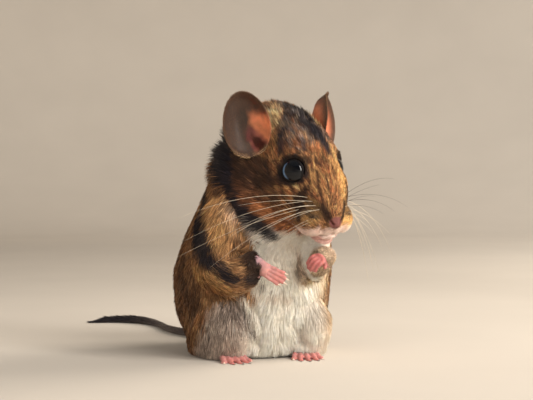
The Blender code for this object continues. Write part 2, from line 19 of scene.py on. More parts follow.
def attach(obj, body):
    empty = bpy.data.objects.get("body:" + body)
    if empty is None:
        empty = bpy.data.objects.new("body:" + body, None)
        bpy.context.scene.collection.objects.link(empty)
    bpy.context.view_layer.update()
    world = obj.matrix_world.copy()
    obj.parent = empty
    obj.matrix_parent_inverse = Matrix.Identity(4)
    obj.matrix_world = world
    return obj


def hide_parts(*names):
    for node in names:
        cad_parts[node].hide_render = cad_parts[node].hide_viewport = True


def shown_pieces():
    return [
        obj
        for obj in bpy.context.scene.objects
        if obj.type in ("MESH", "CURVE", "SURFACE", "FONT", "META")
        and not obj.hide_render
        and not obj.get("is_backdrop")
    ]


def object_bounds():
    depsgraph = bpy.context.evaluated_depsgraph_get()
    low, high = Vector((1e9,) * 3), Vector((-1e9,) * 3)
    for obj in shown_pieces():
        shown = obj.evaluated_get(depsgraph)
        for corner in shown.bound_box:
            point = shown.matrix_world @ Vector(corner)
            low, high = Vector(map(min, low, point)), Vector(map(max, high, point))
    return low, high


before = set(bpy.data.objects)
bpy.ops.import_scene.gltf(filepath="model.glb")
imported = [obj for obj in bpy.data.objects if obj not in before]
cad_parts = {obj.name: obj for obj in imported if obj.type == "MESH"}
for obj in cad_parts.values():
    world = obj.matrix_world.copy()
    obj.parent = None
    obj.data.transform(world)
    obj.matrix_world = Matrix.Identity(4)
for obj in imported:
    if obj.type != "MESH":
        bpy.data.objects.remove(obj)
cad_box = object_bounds()
MM = 0.001
SIDES = ((1.0, "left"), (-1.0, "right"))
rng = np.random.default_rng(41)
print("CAD box in mm:", [round(side * 1000, 1) for side in cad_box[1] - cad_box[0]])

# %% [markdown]
# ## The sizes of the body
#
# The body is a trunk, a head with swellings for cheeks and muzzle, two arms and two haunches,
# each given by a few stations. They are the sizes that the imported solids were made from, so
# the skin that is lofted through them here lies where the solids are. Only the left arm is
# slimmer and nearer the chest than its solid. The head has its own axes, because it is
# turned to the animal's left and lowered: places on it are given back from the nose tip,
# aside and up.

# %% Sizes of trunk, head and limbs
# Trunk: height, how far back its middle is, half width, half depth
TRUNK_STATIONS = (
    (-1.5, 1.0, 14.0, 14.5), (3.0, 1.0, 20.0, 20.5), (9.0, 1.5, 22.6, 23.6),
    (17.0, 2.0, 24.3, 25.2), (26.0, 0.8, 24.5, 24.8), (33.0, -1.8, 23.4, 23.2),
    (40.0, -4.8, 21.6, 21.4), (48.0, -8.5, 19.0, 19.4), (56.0, -12.0, 16.4, 17.0),
    (63.0, -14.0, 12.5, 13.5), (67.0, -15.0, 7.0, 8.0),
)
# Head: back from the nose, half width, top, bottom, how much the ring narrows upwards
HEAD_STATIONS = (
    (-0.6, 1.6, 0.6, -5.6, 0.00), (0.6, 3.6, 2.2, -8.4, 0.02), (2.4, 5.6, 4.0, -9.8, 0.04),
    (5.5, 8.0, 6.6, -10.9, 0.08), (10.0, 10.9, 9.6, -11.7, 0.12), (16.0, 12.9, 12.4, -12.6, 0.14),
    (22.0, 14.2, 14.6, -13.4, 0.14), (28.0, 15.3, 15.2, -13.6, 0.16),
    (34.0, 15.2, 14.4, -12.6, 0.18), (40.0, 13.6, 11.8, -9.5, 0.12),
    (45.0, 10.2, 8.0, -5.5, 0.06), (48.0, 5.5, 4.0, -1.5, 0.00),
)
NOSE_TIP = np.array((9.9, -38.4, 40.3))
HEAD_TURN, HEAD_PITCH, HEAD_ROLL = math.radians(18.0), math.radians(43.0), math.radians(6.0)
# Swellings on the head: their places and half sizes back, aside and up
MUZZLE_PAD = ((5.6, 5.0, -2.6), (5.6, 4.6, 4.6))
CHEEK = ((23.5, 8.6, -5.0), (9.5, 6.6, 8.0))
CHIN = ((3.9, 0.0, -8.9), (4.5, 4.0, 2.6))
NOSE_BULB = ((1.0, 0.0, 0.0), (2.2, 2.1, 1.7))
EYE, EYE_WAY, EYE_RADIUS = (16.3, 7.7, 6.6), (-0.34, 0.82, 0.47), 3.8
LEFT_EYE_SINK = 2.0
ORBIT_SIZE, ORBIT_SINK = (2.7, 6.4, 6.2), 0.8
LID_RADIUS, LID_THICKNESS, LID_PROUD = 3.95, 0.6, 1.45
# Arms from shoulder to wrist: x, y, z and radius. The left one is pressed to the chest, with
# its coat flattened, so it is slimmer than its solid.
RIGHT_ARM = ((-11.0, -13.0, 48.0, 7.5), (-16.5, -15.5, 38.0, 8.0), (-18.5, -18.5, 28.5, 7.4),
             (-15.5, -24.0, 26.0, 5.8), (-10.6, -27.8, 29.2, 3.3))
LEFT_ARM = ((9.0, -14.0, 48.0, 7.2), (10.4, -17.5, 38.0, 6.5), (9.6, -22.5, 28.8, 5.0),
            (9.2, -27.8, 27.0, 3.7), (8.9, -31.4, 29.4, 2.6))
# Haunches: middle, half sizes, turn of the knee in degrees
RIGHT_HAUNCH = ((-13.4, -4.5, 9.6), (9.8, 17.5, 14.6), 3.0)
LEFT_HAUNCH = ((11.4, -6.5, 9.6), (9.8, 17.5, 14.6), -3.0)
NECK_POINT, NECK_NORMAL = np.array((0.0, -12.0, 53.0)), np.array((0.2, -0.82, 0.52))

# %% [markdown]
# ## Small tools
#
# These few functions do all the geometry of the lesson: smooth steps, curves through
# stations, distances to a path, a wavy noise, and closed grids of points. The noise is a sum
# of sine waves in random directions, so it needs no table of numbers and comes out the same
# each time.

# %% Numbers and directions
def ease(value, low, high):
    """0 at low, 1 at high, and 3t^2 - 2t^3 between them; low may be above high."""
    t = np.clip((value - low) / (high - low), 0.0, 1.0)
    return t * t * (3.0 - 2.0 * t)


def lean(one, other, share):
    """One plus share times (other - one), for numbers."""
    return one + (other - one) * share


def mix(one, other, share):
    """One plus share times (other - one), for points or colours; share has one number a point."""
    share = np.asarray(share, float)
    return one + (np.asarray(other) - one) * share[..., None]


def unit(vectors):
    """Vectors divided by their lengths."""
    vectors = np.asarray(vectors, float)
    return vectors / np.maximum(np.linalg.norm(vectors, axis=-1, keepdims=True), 1e-9)


def turned(vector, axis, degrees):
    """A vector turned about an axis: v cos a + (axis x v) sin a + axis (axis . v)(1 - cos a)."""
    angle, axis = math.radians(degrees), unit(axis)
    across = np.cross(axis, vector)
    along = axis * (np.asarray(vector) @ axis)[..., None]
    return np.asarray(vector) * math.cos(angle) + across * math.sin(angle) + along * (1 - math.cos(angle))


def between(stations, count):
    """Rows read evenly off a Catmull-Rom curve, a cubic that passes through each station."""
    rows = np.array(stations, float)
    padded = np.vstack((2 * rows[0] - rows[1], rows, 2 * rows[-1] - rows[-2]))
    places = np.linspace(0.0, len(rows) - 1.0, count)
    index = np.minimum(places.astype(int), len(rows) - 2)
    t = (places - index)[:, None]
    before, start, end, after = (padded[index + k] for k in range(4))
    return 0.5 * (
        2 * start + (end - before) * t + (2 * before - 5 * start + 4 * end - after) * t**2
        + (3 * start - before - 3 * end + after) * t**3
    )


def path_distance(points, path):
    """Each point's distance to a path of straight runs, and the share of the path it meets."""
    path = np.asarray(path, float)
    start, run = path[:-1], np.diff(path, axis=0)
    offset = points[:, None, :] - start[None]
    along = np.clip((offset * run).sum(2) / (run * run).sum(1), 0.0, 1.0)
    gap = np.linalg.norm(offset - along[..., None] * run, axis=2)
    rows, nearest = np.arange(len(points)), gap.argmin(1)
    return gap[rows, nearest], (nearest + along[rows, nearest]) / len(run)


def waves(points, size, seed):
    """A smooth noise, mostly from -1 to 1: the sum of seven sine waves over 3.2."""
    draw = np.random.default_rng(seed)
    ways = unit(draw.normal(size=(7, 3)))
    lengths = size * draw.uniform(0.7, 1.5, 7)
    phases = draw.uniform(0.0, 2.0 * math.pi, 7)
    return np.sin(points @ (ways / lengths[:, None]).T * 2.0 * math.pi + phases).sum(1) / 3.2


def head_axes():
    """Rows that point back, to the left and up on the turned, lowered and tilted head."""
    cos_turn, sin_turn = math.cos(HEAD_TURN), math.sin(HEAD_TURN)
    cos_pitch, sin_pitch = math.cos(HEAD_PITCH), math.sin(HEAD_PITCH)
    back = np.array((-sin_turn * cos_pitch, cos_turn * cos_pitch, sin_pitch))
    left = np.array((cos_turn, sin_turn, 0.0))
    up = np.array((sin_pitch * sin_turn, -sin_pitch * cos_turn, cos_pitch))
    roll = math.degrees(-HEAD_ROLL)
    return np.array((back, turned(left, back, roll), turned(up, back, roll)))


HEAD = head_axes()


def head_point(places, side=1.0):
    """World places of points given back, aside and up from the nose tip."""
    return NOSE_TIP + (np.asarray(places, float) * (1.0, side, 1.0)) @ HEAD


def head_way(way, side=1.0):
    """The world direction of a direction in the head's axes."""
    return unit((np.asarray(way, float) * (1.0, side, 1.0)) @ HEAD)


def in_head(points):
    """Points in the head's axes: back, aside and up from the nose tip."""
    return (points - NOSE_TIP) @ HEAD.T


print("head axes, back, left and up:", HEAD.round(2).tolist())


# %% Closed grids of points
def closed_grid(rings):
    """A closed body through rings of points: quads between rings, a fan over each end."""
    rings = np.asarray(rings, float)
    count, sides = rings.shape[:2]
    points = np.vstack((rings.reshape(-1, 3), rings[0].mean(0), rings[-1].mean(0)))
    ring, side = np.meshgrid(np.arange(count - 1), np.arange(sides), indexing="ij")
    after = (side + 1) % sides
    near, far = ring * sides, (ring + 1) * sides
    quads = np.stack((near + side, near + after, far + after, far + side), -1).reshape(-1, 4)
    k, nxt = np.arange(sides), (np.arange(sides) + 1) % sides
    last, first_hub, last_hub = (count - 1) * sides, count * sides, count * sides + 1
    first_fan = np.stack((nxt, k, np.full(sides, first_hub)), -1)
    last_fan = np.stack((last + k, last + nxt, np.full(sides, last_hub)), -1)
    return points, quads, np.vstack((first_fan, last_fan))


def frames_along(points, up):
    """At each point of a path its way, and an across and above carried along without twist."""
    points = np.asarray(points, float)
    ways = unit(np.gradient(points, axis=0))
    across = np.cross(ways[0], up)
    rows = []
    for way in ways:
        across = unit(across - way * (across @ way))
        rows.append(across)
    acrosses = np.array(rows)
    return ways, acrosses, np.cross(acrosses, ways)


def tube(points, radii, sides=16, flatten=1.0, up=(0.0, 0.0, 1.0)):
    """Rings of this radius along a path; above is flatten times as thick as across."""
    points, radii = np.asarray(points, float), np.asarray(radii, float)
    _, across, above = frames_along(points, np.asarray(up, float))
    turn = np.linspace(0.0, 2.0 * math.pi, sides, endpoint=False)
    ring = across[:, None] * np.cos(turn)[:, None] + above[:, None] * np.sin(turn)[:, None] * flatten
    return closed_grid(points[:, None] + ring * radii[:, None, None])


def ellipsoid(middle, half_sizes, axes, segments=40, rings=24):
    """A ball stretched along three axes: rings of latitude between two closed poles."""
    rise = np.linspace(0.0, math.pi, rings + 2)[1:-1, None]
    turn = np.linspace(0.0, 2.0 * math.pi, segments, endpoint=False)[None]
    ball = np.stack((np.sin(rise) * np.cos(turn), np.sin(rise) * np.sin(turn),
                     np.cos(rise) + 0.0 * turn), -1)
    return closed_grid(np.asarray(middle) + (ball * np.asarray(half_sizes)) @ np.asarray(axes))


def ring_tube(middle, normal, radius, thickness, sides=12, count=48):
    """A torus round a normal, which is how a lid stands round its eye."""
    normal = unit(normal)
    across = unit(np.cross(normal, (0.3, 0.2, 0.9)))
    other = np.cross(normal, across)
    turn = np.linspace(0.0, 2.0 * math.pi, count, endpoint=False)[:, None, None]
    roll = np.linspace(0.0, 2.0 * math.pi, sides, endpoint=False)[None, :, None]
    out = across * np.cos(turn) + other * np.sin(turn)
    points = middle + out * (radius + thickness * np.cos(roll)) + normal * thickness * np.sin(roll)
    k, j = np.meshgrid(np.arange(count), np.arange(sides), indexing="ij")
    near, far, after = k * sides, (k + 1) % count * sides, (j + 1) % sides
    quads = np.stack((near + j, near + after, far + after, far + j), -1).reshape(-1, 4)
    return points.reshape(-1, 3), quads, np.zeros((0, 3), int)


# %% [markdown]
# ## From arrays to a mesh
#
# Blender takes a mesh fastest as flat arrays. Every piece goes through this one function. It
# also turns the faces outwards, because a grid can come out inside out.

# %% Meshes from arrays
def piece_from(name, bodies, outward=True):
    """One object from closed bodies, each given as points, quads and triangles."""
    points, quads, triangles, start = [], [], [], 0
    for body_points, body_quads, body_triangles in bodies:
        points.append(body_points)
        quads.append(np.asarray(body_quads).reshape(-1, 4) + start)
        triangles.append(np.asarray(body_triangles).reshape(-1, 3) + start)
        start += len(body_points)
    points, quads, triangles = np.vstack(points), np.vstack(quads), np.vstack(triangles)
    corners = np.concatenate((quads.ravel(), triangles.ravel())).astype(np.int32)
    starts = np.concatenate((np.arange(len(quads)) * 4,
                             len(quads) * 4 + np.arange(len(triangles)) * 3))
    mesh = bpy.data.meshes.new(name)
    mesh.vertices.add(len(points))
    mesh.vertices.foreach_set("co", (points * MM).astype(np.float32).ravel())
    mesh.loops.add(len(corners))
    mesh.loops.foreach_set("vertex_index", corners)
    mesh.polygons.add(len(starts))
    mesh.polygons.foreach_set("loop_start", starts.astype(np.int32))
    mesh.update(calc_edges=True)
    obj = bpy.data.objects.new(name, mesh)
    bpy.context.scene.collection.objects.link(obj)
    if outward:
        bm = bmesh.new()
        bm.from_mesh(mesh)
        bmesh.ops.recalc_face_normals(bm, faces=bm.faces)
        bm.to_mesh(mesh)
        bm.free()
    mesh.shade_smooth()
    return obj


def read(obj, layer="vertices", name="co", width=3, kind=np.float32):
    """A mesh's numbers as an array, such as the places of its vertices."""
    data = getattr(obj.data, layer)
    values = np.empty(len(data) * width, kind)
    data.foreach_get(name, values)
    return values.reshape(-1, width)


def place_points(obj, points):
    """Moves a piece's vertices to these places in millimetres."""
    obj.data.vertices.foreach_set("co", (points * MM).astype(np.float32).ravel())
    obj.data.update()


def paint(obj, name, colours):
    """Writes one colour a vertex into an attribute that the material reads."""
    attribute = obj.data.attributes.new(name, "FLOAT_COLOR", "POINT")
    full = np.ones((len(colours), 4), np.float32)
    full[:, :3] = colours
    attribute.data.foreach_set("color", full.ravel())


def apply_modifiers(obj):
    """Gives a piece the mesh that its modifiers make of it."""
    graph = bpy.context.evaluated_depsgraph_get()
    mesh = bpy.data.meshes.new_from_object(obj.evaluated_get(graph))
    obj.modifiers.clear()
    obj.data = mesh
    return obj


def remeshed(obj, voxel):
    """All the piece's bodies as one skin, from cubes of this many millimetres."""
    modifier = obj.modifiers.new("Remesh", "REMESH")
    modifier.mode, modifier.voxel_size = "VOXEL", voxel * MM
    return apply_modifiers(obj)


def relaxed(points, edges, share, rounds, step=0.25):
    """Each round moves a point by step times its share towards the mean of its neighbours."""
    count = len(points)
    ends = np.concatenate((edges[:, 0], edges[:, 1]))
    others = np.concatenate((edges[:, 1], edges[:, 0]))
    neighbours = np.bincount(ends, minlength=count)
    for _ in range(rounds):
        total = np.stack([np.bincount(ends, points[others, k], count) for k in range(3)], 1)
        mean = total / neighbours[:, None]
        points = points + (mean - points) * (step * share)[:, None]
    return points


# %% [markdown]
# ## One skin for the whole body
#
# A real gerbil's skin runs on from nose to rump, so the lofts are joined by a voxel remesh,
# which keeps only the outside. Its joins are then relaxed: strongly on the trunk, where fat
# and fur hide all edges, and lightly on the face. The mesh is made finer round the nose and
# mouth, where the folds are smaller than a voxel.

# %% Loft the bodies
def trunk_body():
    """Ovals stacked from the seat up: x = half width cos t, y = middle + half depth sin t."""
    height, back, wide, deep = (column[:, None] for column in between(TRUNK_STATIONS, 60).T)
    turn = np.linspace(0.0, 2.0 * math.pi, 72, endpoint=False)[None]
    return closed_grid(np.stack((wide * np.cos(turn), back + deep * np.sin(turn),
                                 height + 0.0 * turn), -1))


def head_body():
    """Rings back from the nose, as wide as half width cos t times (1 - narrowing sin t)."""
    back, wide, top, bottom, narrow = (c[:, None] for c in between(HEAD_STATIONS, 72).T)
    turn = np.linspace(0.0, 2.0 * math.pi, 64, endpoint=False)[None]
    aside = wide * np.cos(turn) * (1.0 - narrow * np.sin(turn))
    rise = (top + bottom) / 2 + (top - bottom) / 2 * np.sin(turn)
    places = np.stack((back + 0.0 * turn, aside, rise), -1)
    return closed_grid(NOSE_TIP + places @ HEAD)


def swelling(shape, side=1.0):
    """A ball stretched along the head's axes, on the left or mirrored to the right."""
    return ellipsoid(head_point(shape[0], side), shape[1], HEAD)


def eye_frame(side):
    """An eye's middle, and its axes: outwards, towards the nose, and up across the face.
    The left eye is sunk deeper, so that it shows only at the edge of the face."""
    way = head_way(EYE_WAY, side)
    front = unit(-HEAD[0] - way * (-HEAD[0] @ way))
    over = unit(HEAD[2] - way * (HEAD[2] @ way) - front * (HEAD[2] @ front))
    sink = LEFT_EYE_SINK if side > 0 else 0.0
    return head_point(EYE, side) - way * sink, way, front, over


def haunch_body(shape):
    """A haunch's ellipsoid, turned out at the knee."""
    middle, half_sizes, splay = shape
    return ellipsoid(middle, half_sizes, turned(np.eye(3), (0, 0, 1), splay))


def flesh_bodies():
    """All the bodies that the one skin is made from."""
    bodies = [trunk_body(), head_body(), swelling(CHIN), swelling(NOSE_BULB)]
    for side in (1.0, -1.0):
        middle, way, front, over = eye_frame(side)
        bodies += [swelling(MUZZLE_PAD, side), swelling(CHEEK, side)]
        bodies.append(ellipsoid(middle - way * ORBIT_SINK, ORBIT_SIZE, (way, front, over)))
        bodies.append(ring_tube(middle + way * LID_PROUD, way, LID_RADIUS, LID_THICKNESS))
    for route in (RIGHT_ARM, LEFT_ARM):
        rows = between(route, 26)
        bodies.append(tube(rows[:, :3], rows[:, 3], 32))
    return bodies + [haunch_body(RIGHT_HAUNCH), haunch_body(LEFT_HAUNCH)]


SKIN_VOXEL, TRUNK_ROUNDS, FACE_ROUNDS = 0.5, 26, 3
skin = remeshed(piece_from("skin", flesh_bodies()), SKIN_VOXEL)
points = read(skin) / MM
edges = read(skin, "edges", "vertices", 2, np.int32)
to_nose = np.linalg.norm(points - NOSE_TIP, axis=1)
points = relaxed(points, edges, np.clip((to_nose - 23.0) / 16.0, 0.0, 1.0), TRUNK_ROUNDS)
points = relaxed(points, edges, np.ones(len(points)), FACE_ROUNDS)
place_points(skin, points)
print("skin after the remesh:", len(points), "points")


# %% Finer faces round the nose and mouth
def finer_near(obj, middle, reach):
    """Splits each edge in two within reach of a place, so that smaller folds can be set."""
    bm = bmesh.new()
    bm.from_mesh(obj.data)
    middle = Vector(middle) * MM
    near = [e for e in bm.edges if (e.verts[0].co - middle).length < reach * MM]
    bmesh.ops.subdivide_edges(bm, edges=near, cuts=1, use_grid_fill=True)
    bmesh.ops.triangulate(bm, faces=[f for f in bm.faces if len(f.verts) > 4])
    bm.to_mesh(obj.data)
    bm.free()


MUZZLE_MIDDLE, MUZZLE_REACH = head_point((2.5, 0.0, -4.0)), 10.5
finer_near(skin, MUZZLE_MIDDLE, MUZZLE_REACH)
points = read(skin) / MM
edges = read(skin, "edges", "vertices", 2, np.int32)
points = relaxed(points, edges, ease(np.linalg.norm(points - MUZZLE_MIDDLE, axis=1), 13.0, 9.0), 4)
place_points(skin, points)
print("skin with a finer muzzle:", len(points), "points")

# %% [markdown]
# ## Where each part of the body is
#
# The depth of the coat, its lie and its colours all depend on the part of the body. Each
# part is a smooth weight from 0 to 1, so that one part passes into the next without an edge.

# %% Weights of the parts
def on_head(points):
    """1 in front of the neck's plane and 0 behind it, over 7 mm."""
    return ease((points - NECK_POINT) @ unit(NECK_NORMAL), -2.5, 4.5)


def on_arms(points):
    """1 on an arm: by the distance to its axis over its radius. The shoulder counts half."""
    weight = np.zeros(len(points))
    for route in (RIGHT_ARM, LEFT_ARM):
        rows = np.array(route)
        gap, share = path_distance(points, rows[:, :3])
        radius = np.interp(share, np.linspace(0.0, 1.0, len(rows)), rows[:, 3])
        here = ease((gap - 1.2 * ease(share, 0.8, 1.0)) / radius, 1.45, 1.02) * ease(share, 0.05, 0.45)
        weight = np.maximum(weight, here)
    return weight * (1.0 - on_head(points))


def on_haunches(points):
    """1 inside the haunch's ellipsoid, and 0 from 16% larger on."""
    weight = np.zeros(len(points))
    for middle, half_sizes, splay in (RIGHT_HAUNCH, LEFT_HAUNCH):
        places = (points - middle) @ turned(np.eye(3), (0, 0, 1), splay).T
        weight = np.maximum(weight, ease(np.linalg.norm(places / half_sizes, axis=1), 1.16, 1.0))
    return weight * (1.0 - on_arms(points))


def wrist_share(points):
    """0 at the shoulder and 1 at the wrist, by the nearer arm's route."""
    gap_right, share_right = path_distance(points, np.array(RIGHT_ARM)[:, :3])
    gap_left, share_left = path_distance(points, np.array(LEFT_ARM)[:, :3])
    return np.where(gap_right < gap_left, share_right, share_left)


# %% Where the ears stand
# In the head's axes: the ear's long way, and for each side its middle and where it faces
EAR_UP = (0.72, 0.11, 0.68)
EAR_MIDDLES = {-1.0: (34.4, 15.5, 8.6), 1.0: (35.2, 15.2, 6.5)}
EAR_FACINGS = {-1.0: (-0.646, 0.46, 0.60), 1.0: (-0.56, 0.62, 0.55)}
# Half its length, half its width, how deep its cup is, and its thickness
EAR_LONG, EAR_SHORT, EAR_DEPTH, EAR_WALL = 9.8, 6.7, 3.6, 0.6


def ear_frame(side):
    """The ear's middle, its long way up, the way across its face to the head, and its facing."""
    up = head_way(EAR_UP, side)
    facing = head_way(EAR_FACINGS[side], side)
    facing = unit(facing - up * (facing @ up))
    inward = unit(np.cross(up, facing))
    return head_point(EAR_MIDDLES[side], side), up, inward * np.sign(inward @ HEAD[1]) * -side, facing


def ear_depth(side, share, turn):
    """The cup's depth under its rim: it falls as share to the power 2.2, and the rim rolls in."""
    rise, run = np.cos(turn), np.sin(turn)
    curl = 1.5 * (share * run) ** 2
    fold = ease(share, 0.80, 1.0) * (0.25 + 0.75 * ease(run, -0.2, 0.8) * ease(rise, -0.6, 0.3))
    tip = ease(rise, 0.9, 1.0) * ease(share, 0.7, 1.0) * (0.9 if side > 0 else 0.0)
    ribs = 0.10 * np.sin(9.0 * share + 2.0 * run) * ease(share, 0.1, 0.4) * ease(share, 1.0, 0.85)
    return EAR_DEPTH * (1.0 - share**2.2) - curl - 1.15 * fold - tip + ribs


def in_ear(points, side):
    """The share of the way out to the ear's rim, the turn round it, and the height over it."""
    middle, up, inward, facing = ear_frame(side)
    rise, run = (points - middle) @ up, (points - middle) @ inward
    rise = rise / (EAR_LONG * np.where(rise > 0, 1.0, 0.92))
    turn = np.arctan2(run / EAR_SHORT, rise)
    return np.hypot(rise, run / (EAR_SHORT * (1.0 - 0.08 * np.cos(turn)))), turn, (points - middle) @ facing


def ear_floor(points, side):
    """How far the skin may rise at each place: behind the cup, and up a slope round its rim."""
    share, turn, height = in_ear(points, side)
    under = -ear_depth(side, np.minimum(share, 1.0), turn) - EAR_WALL - 0.3
    return under + 1.5 * EAR_SHORT * np.maximum(share - 1.03, 0.0), share, height


def ear_pockets(points):
    """Presses the head in behind each cup, so that the ear stands open to its canal."""
    for side in (1.0, -1.0):
        under, share, height = ear_floor(points, side)
        sunk = np.where((share < 1.6) & (height > under), under - height, 0.0)
        print("ear pocket, deepest press:", round(float(-sunk.min()), 2), "mm")
        points = points + ear_frame(side)[3] * sunk[:, None]
    return points


# %% Sink the skin by the coat's depth
def crown_share(points):
    """1 on top of the head between the ears, where the coat stands in loose wisps."""
    back, aside, up = in_head(points).T
    top = ease(back, 22.0, 30.0) * ease(back, 44.0, 38.0) * ease(up, 7.0, 11.0)
    return top * ease(np.abs(aside), 13.0, 8.0) * on_head(points)


def coat_depth(points):
    """How far the tips of the coat stand off the skin, in millimetres."""
    reach = np.linalg.norm(points - NOSE_TIP, axis=1)
    depth = 0.22 + 0.95 * ease(reach, 7.0, 38.0) + 0.45 * (1.0 - on_head(points))
    depth = depth + 1.3 * crown_share(points)
    for side in (1.0, -1.0):
        to_eye = np.linalg.norm(points - eye_frame(side)[0], axis=1)
        depth = lean(depth, 0.22, ease(to_eye, 9.0, 5.0))
    arm = on_arms(points)
    depth = lean(depth, 1.25 - 0.95 * ease(wrist_share(points), 0.55, 1.0), arm)
    return depth * (0.35 + 0.65 * ease(points[:, 2], 0.0, 6.0))


# The jaw begins this far under the nose tip
JAW_TOP = 4.8


def raised_jaw(points):
    """The solids' jaw runs out to its fur, so the chin's drop below the jaw's top is halved."""
    back, _, up = in_head(points).T
    lower = np.minimum(up + JAW_TOP, 0.0) * ease(back, 17.0, 9.0) * on_head(points)
    return points - (0.5 * lower)[:, None] * HEAD[2]


def eye_sockets(points):
    """Pulls the skin inside the eyeball in front of it, so that the eye shows through."""
    for side in (1.0, -1.0):
        middle, way = eye_frame(side)[:2]
        offset = points - middle
        height = offset @ way
        away = np.linalg.norm(offset - height[:, None] * way, axis=1)
        globe = np.sqrt(np.clip(EYE_RADIUS**2 - away**2, 0.0, None)) - 0.9
        open_eye = ease(away, 3.65, 3.05) * (height > 0.0)
        sunk = np.minimum(height, globe) - height
        points = points + way * (sunk * open_eye)[:, None]
    return points


normals = read(skin, "vertex_normals", "vector")
points = points - normals * coat_depth(points)[:, None]
points = relaxed(points, edges, 1.0 - ease(np.linalg.norm(points - NOSE_TIP, axis=1), 30.0, 20.0), 4)
points = ear_pockets(eye_sockets(raised_jaw(points)))
FLOOR_GAP = 0.15
points[:, 2] = np.maximum(points[:, 2], FLOOR_GAP)
place_points(skin, points)
print("coat depth from", round(float(coat_depth(points).min()), 2),
      "to", round(float(coat_depth(points).max()), 2), "mm")

# %% [markdown]
# ## Nostrils, lips and folds
#
# The nose of a rodent is a small bare wedge with a slit of a nostril on each side. A cleft
# runs down from it, and the mouth's line runs back from the cleft under full upper lips. All
# are grooves pressed into the skin: a point moves in by the depth times a bell curve of its
# distance to the groove's path. The same way makes the soft furrow down the chest and the
# creases where thigh meets belly.

# %% Press the grooves
NOSTRILS = ((0.3, 0.75, 0.25), (-0.1, 1.35, 0.55), (0.6, 2.0, 1.15))
LIP_CLEFT = ((-0.7, 0.0, -0.6), (-0.8, 0.0, -1.8), (-0.7, 0.0, -3.2))
MOUTH = ((-0.7, 0.0, -3.2), (-0.5, 1.6, -3.9), (0.1, 3.4, -4.6), (1.2, 5.0, -4.7), (2.8, 6.6, -4.2))


def laid_on(tree, places):
    """Places moved to the nearest point of a surface, in millimetres."""
    return np.array([tree.find_nearest(Vector(place) * MM)[0] for place in places]) / MM


def surface_tree(obj):
    """A search tree over a piece's faces, which finds nearest points fast."""
    return BVHTree.FromPolygons(
        read(obj).tolist(), [list(face.vertices) for face in obj.data.polygons]
    )


skin_tree = surface_tree(skin)
# Each groove: its kind, its path, the width of its bell curve, and its depth
grooves = []
for side in (1.0, -1.0):
    grooves.append(("nostril", laid_on(skin_tree, head_point(between(NOSTRILS, 7), side)), 0.30, 0.75))
    grooves.append(("mouth", laid_on(skin_tree, head_point(between(MOUTH, 12), side)), 0.42, 0.80))
grooves.append(("cleft", laid_on(skin_tree, head_point(between(LIP_CLEFT, 8))), 0.26, 0.5))
CHEST_FURROW = ((3.0, -26.0, 34.0), (2.6, -27.0, 26.0), (1.2, -26.5, 16.0), (0.6, -24.0, 6.0))
THIGH_CREASES = (((-7.4, -22.0, 17.5), (-6.0, -23.5, 12.0), (-6.8, -22.0, 5.0)),
                 ((6.6, -24.0, 17.5), (4.8, -25.5, 12.0), (5.0, -24.0, 5.0)))
grooves.append(("furrow", laid_on(skin_tree, CHEST_FURROW), 1.7, 0.8))
for crease in THIGH_CREASES:
    grooves.append(("crease", laid_on(skin_tree, crease), 1.5, 1.1))


def groove_depth(points, kinds=None):
    """The deepest of the bell curves depth exp(-(distance / width)^2) over the grooves."""
    deepest = np.zeros(len(points))
    for kind, path, width, depth in grooves:
        if kinds is None or kind in kinds:
            gap = path_distance(points, path)[0]
            deepest = np.maximum(deepest, depth * np.exp(-(gap / width) ** 2))
    return deepest


normals = read(skin, "vertex_normals", "vector")
points = points - normals * groove_depth(points)[:, None]
place_points(skin, points)
shaded_grooves = groove_depth(points, ("nostril", "mouth", "cleft"))
print("deepest groove:", round(float(groove_depth(points).max()), 2), "mm")

# %% [markdown]
# ## The markings
#
# The coat is golden brown with slate stripes: one down the crown, one from the crown to the
# eye, one from the nape round behind the cheek to the throat, and one over shoulder and
# flank. A pale tuft lies by the ear, the shoulder is golden, elbow and wrists are dark, and
# front and belly are cream. Some marks are painted light and shade: painted shadows in the
# hollow of the near thigh and beside the left arm, grey on the outer thighs and umber on the
# rump that are partly the coat's own and partly painted shade, and a painted highlight of
# bright gold on the left of the snout. Each marking is a path over the body with a half
# width, and a point's share of it fades with its distance, roughened by noise, as hairs cross
# a marking's edge. Both sides of the animal are much alike, so a point on its left is first
# mirrored to its right. Only the crown's stripe, the armpit's painted shadow and some tones
# of the left side have places of their own.

# %% Colours as the eye names them
def colour(red, green, blue):
    """An sRGB colour of 0 to 255 as linear light: ((c + 0.055) / 1.055) to the power 2.4."""
    c = np.array((red, green, blue)) / 255.0
    return np.where(c <= 0.04045, c / 12.92, ((c + 0.055) / 1.055) ** 2.4)


GOLD, BLONDE, ORANGE = colour(200, 152, 96), colour(228, 186, 132), colour(170, 106, 66)
TAN, UMBER, SLATE = colour(184, 140, 94), colour(74, 51, 40), colour(30, 29, 36)
GREY, THIGH_GREY, CREAM = colour(130, 118, 112), colour(184, 160, 144), colour(242, 233, 218)
LIP, PINK = colour(244, 206, 194), colour(214, 152, 142)
DEEP_PINK, CANAL_RED, LID_BLACK = colour(168, 88, 84), colour(96, 30, 24), colour(26, 21, 22)
NOSE_BROWN = colour(112, 66, 60)

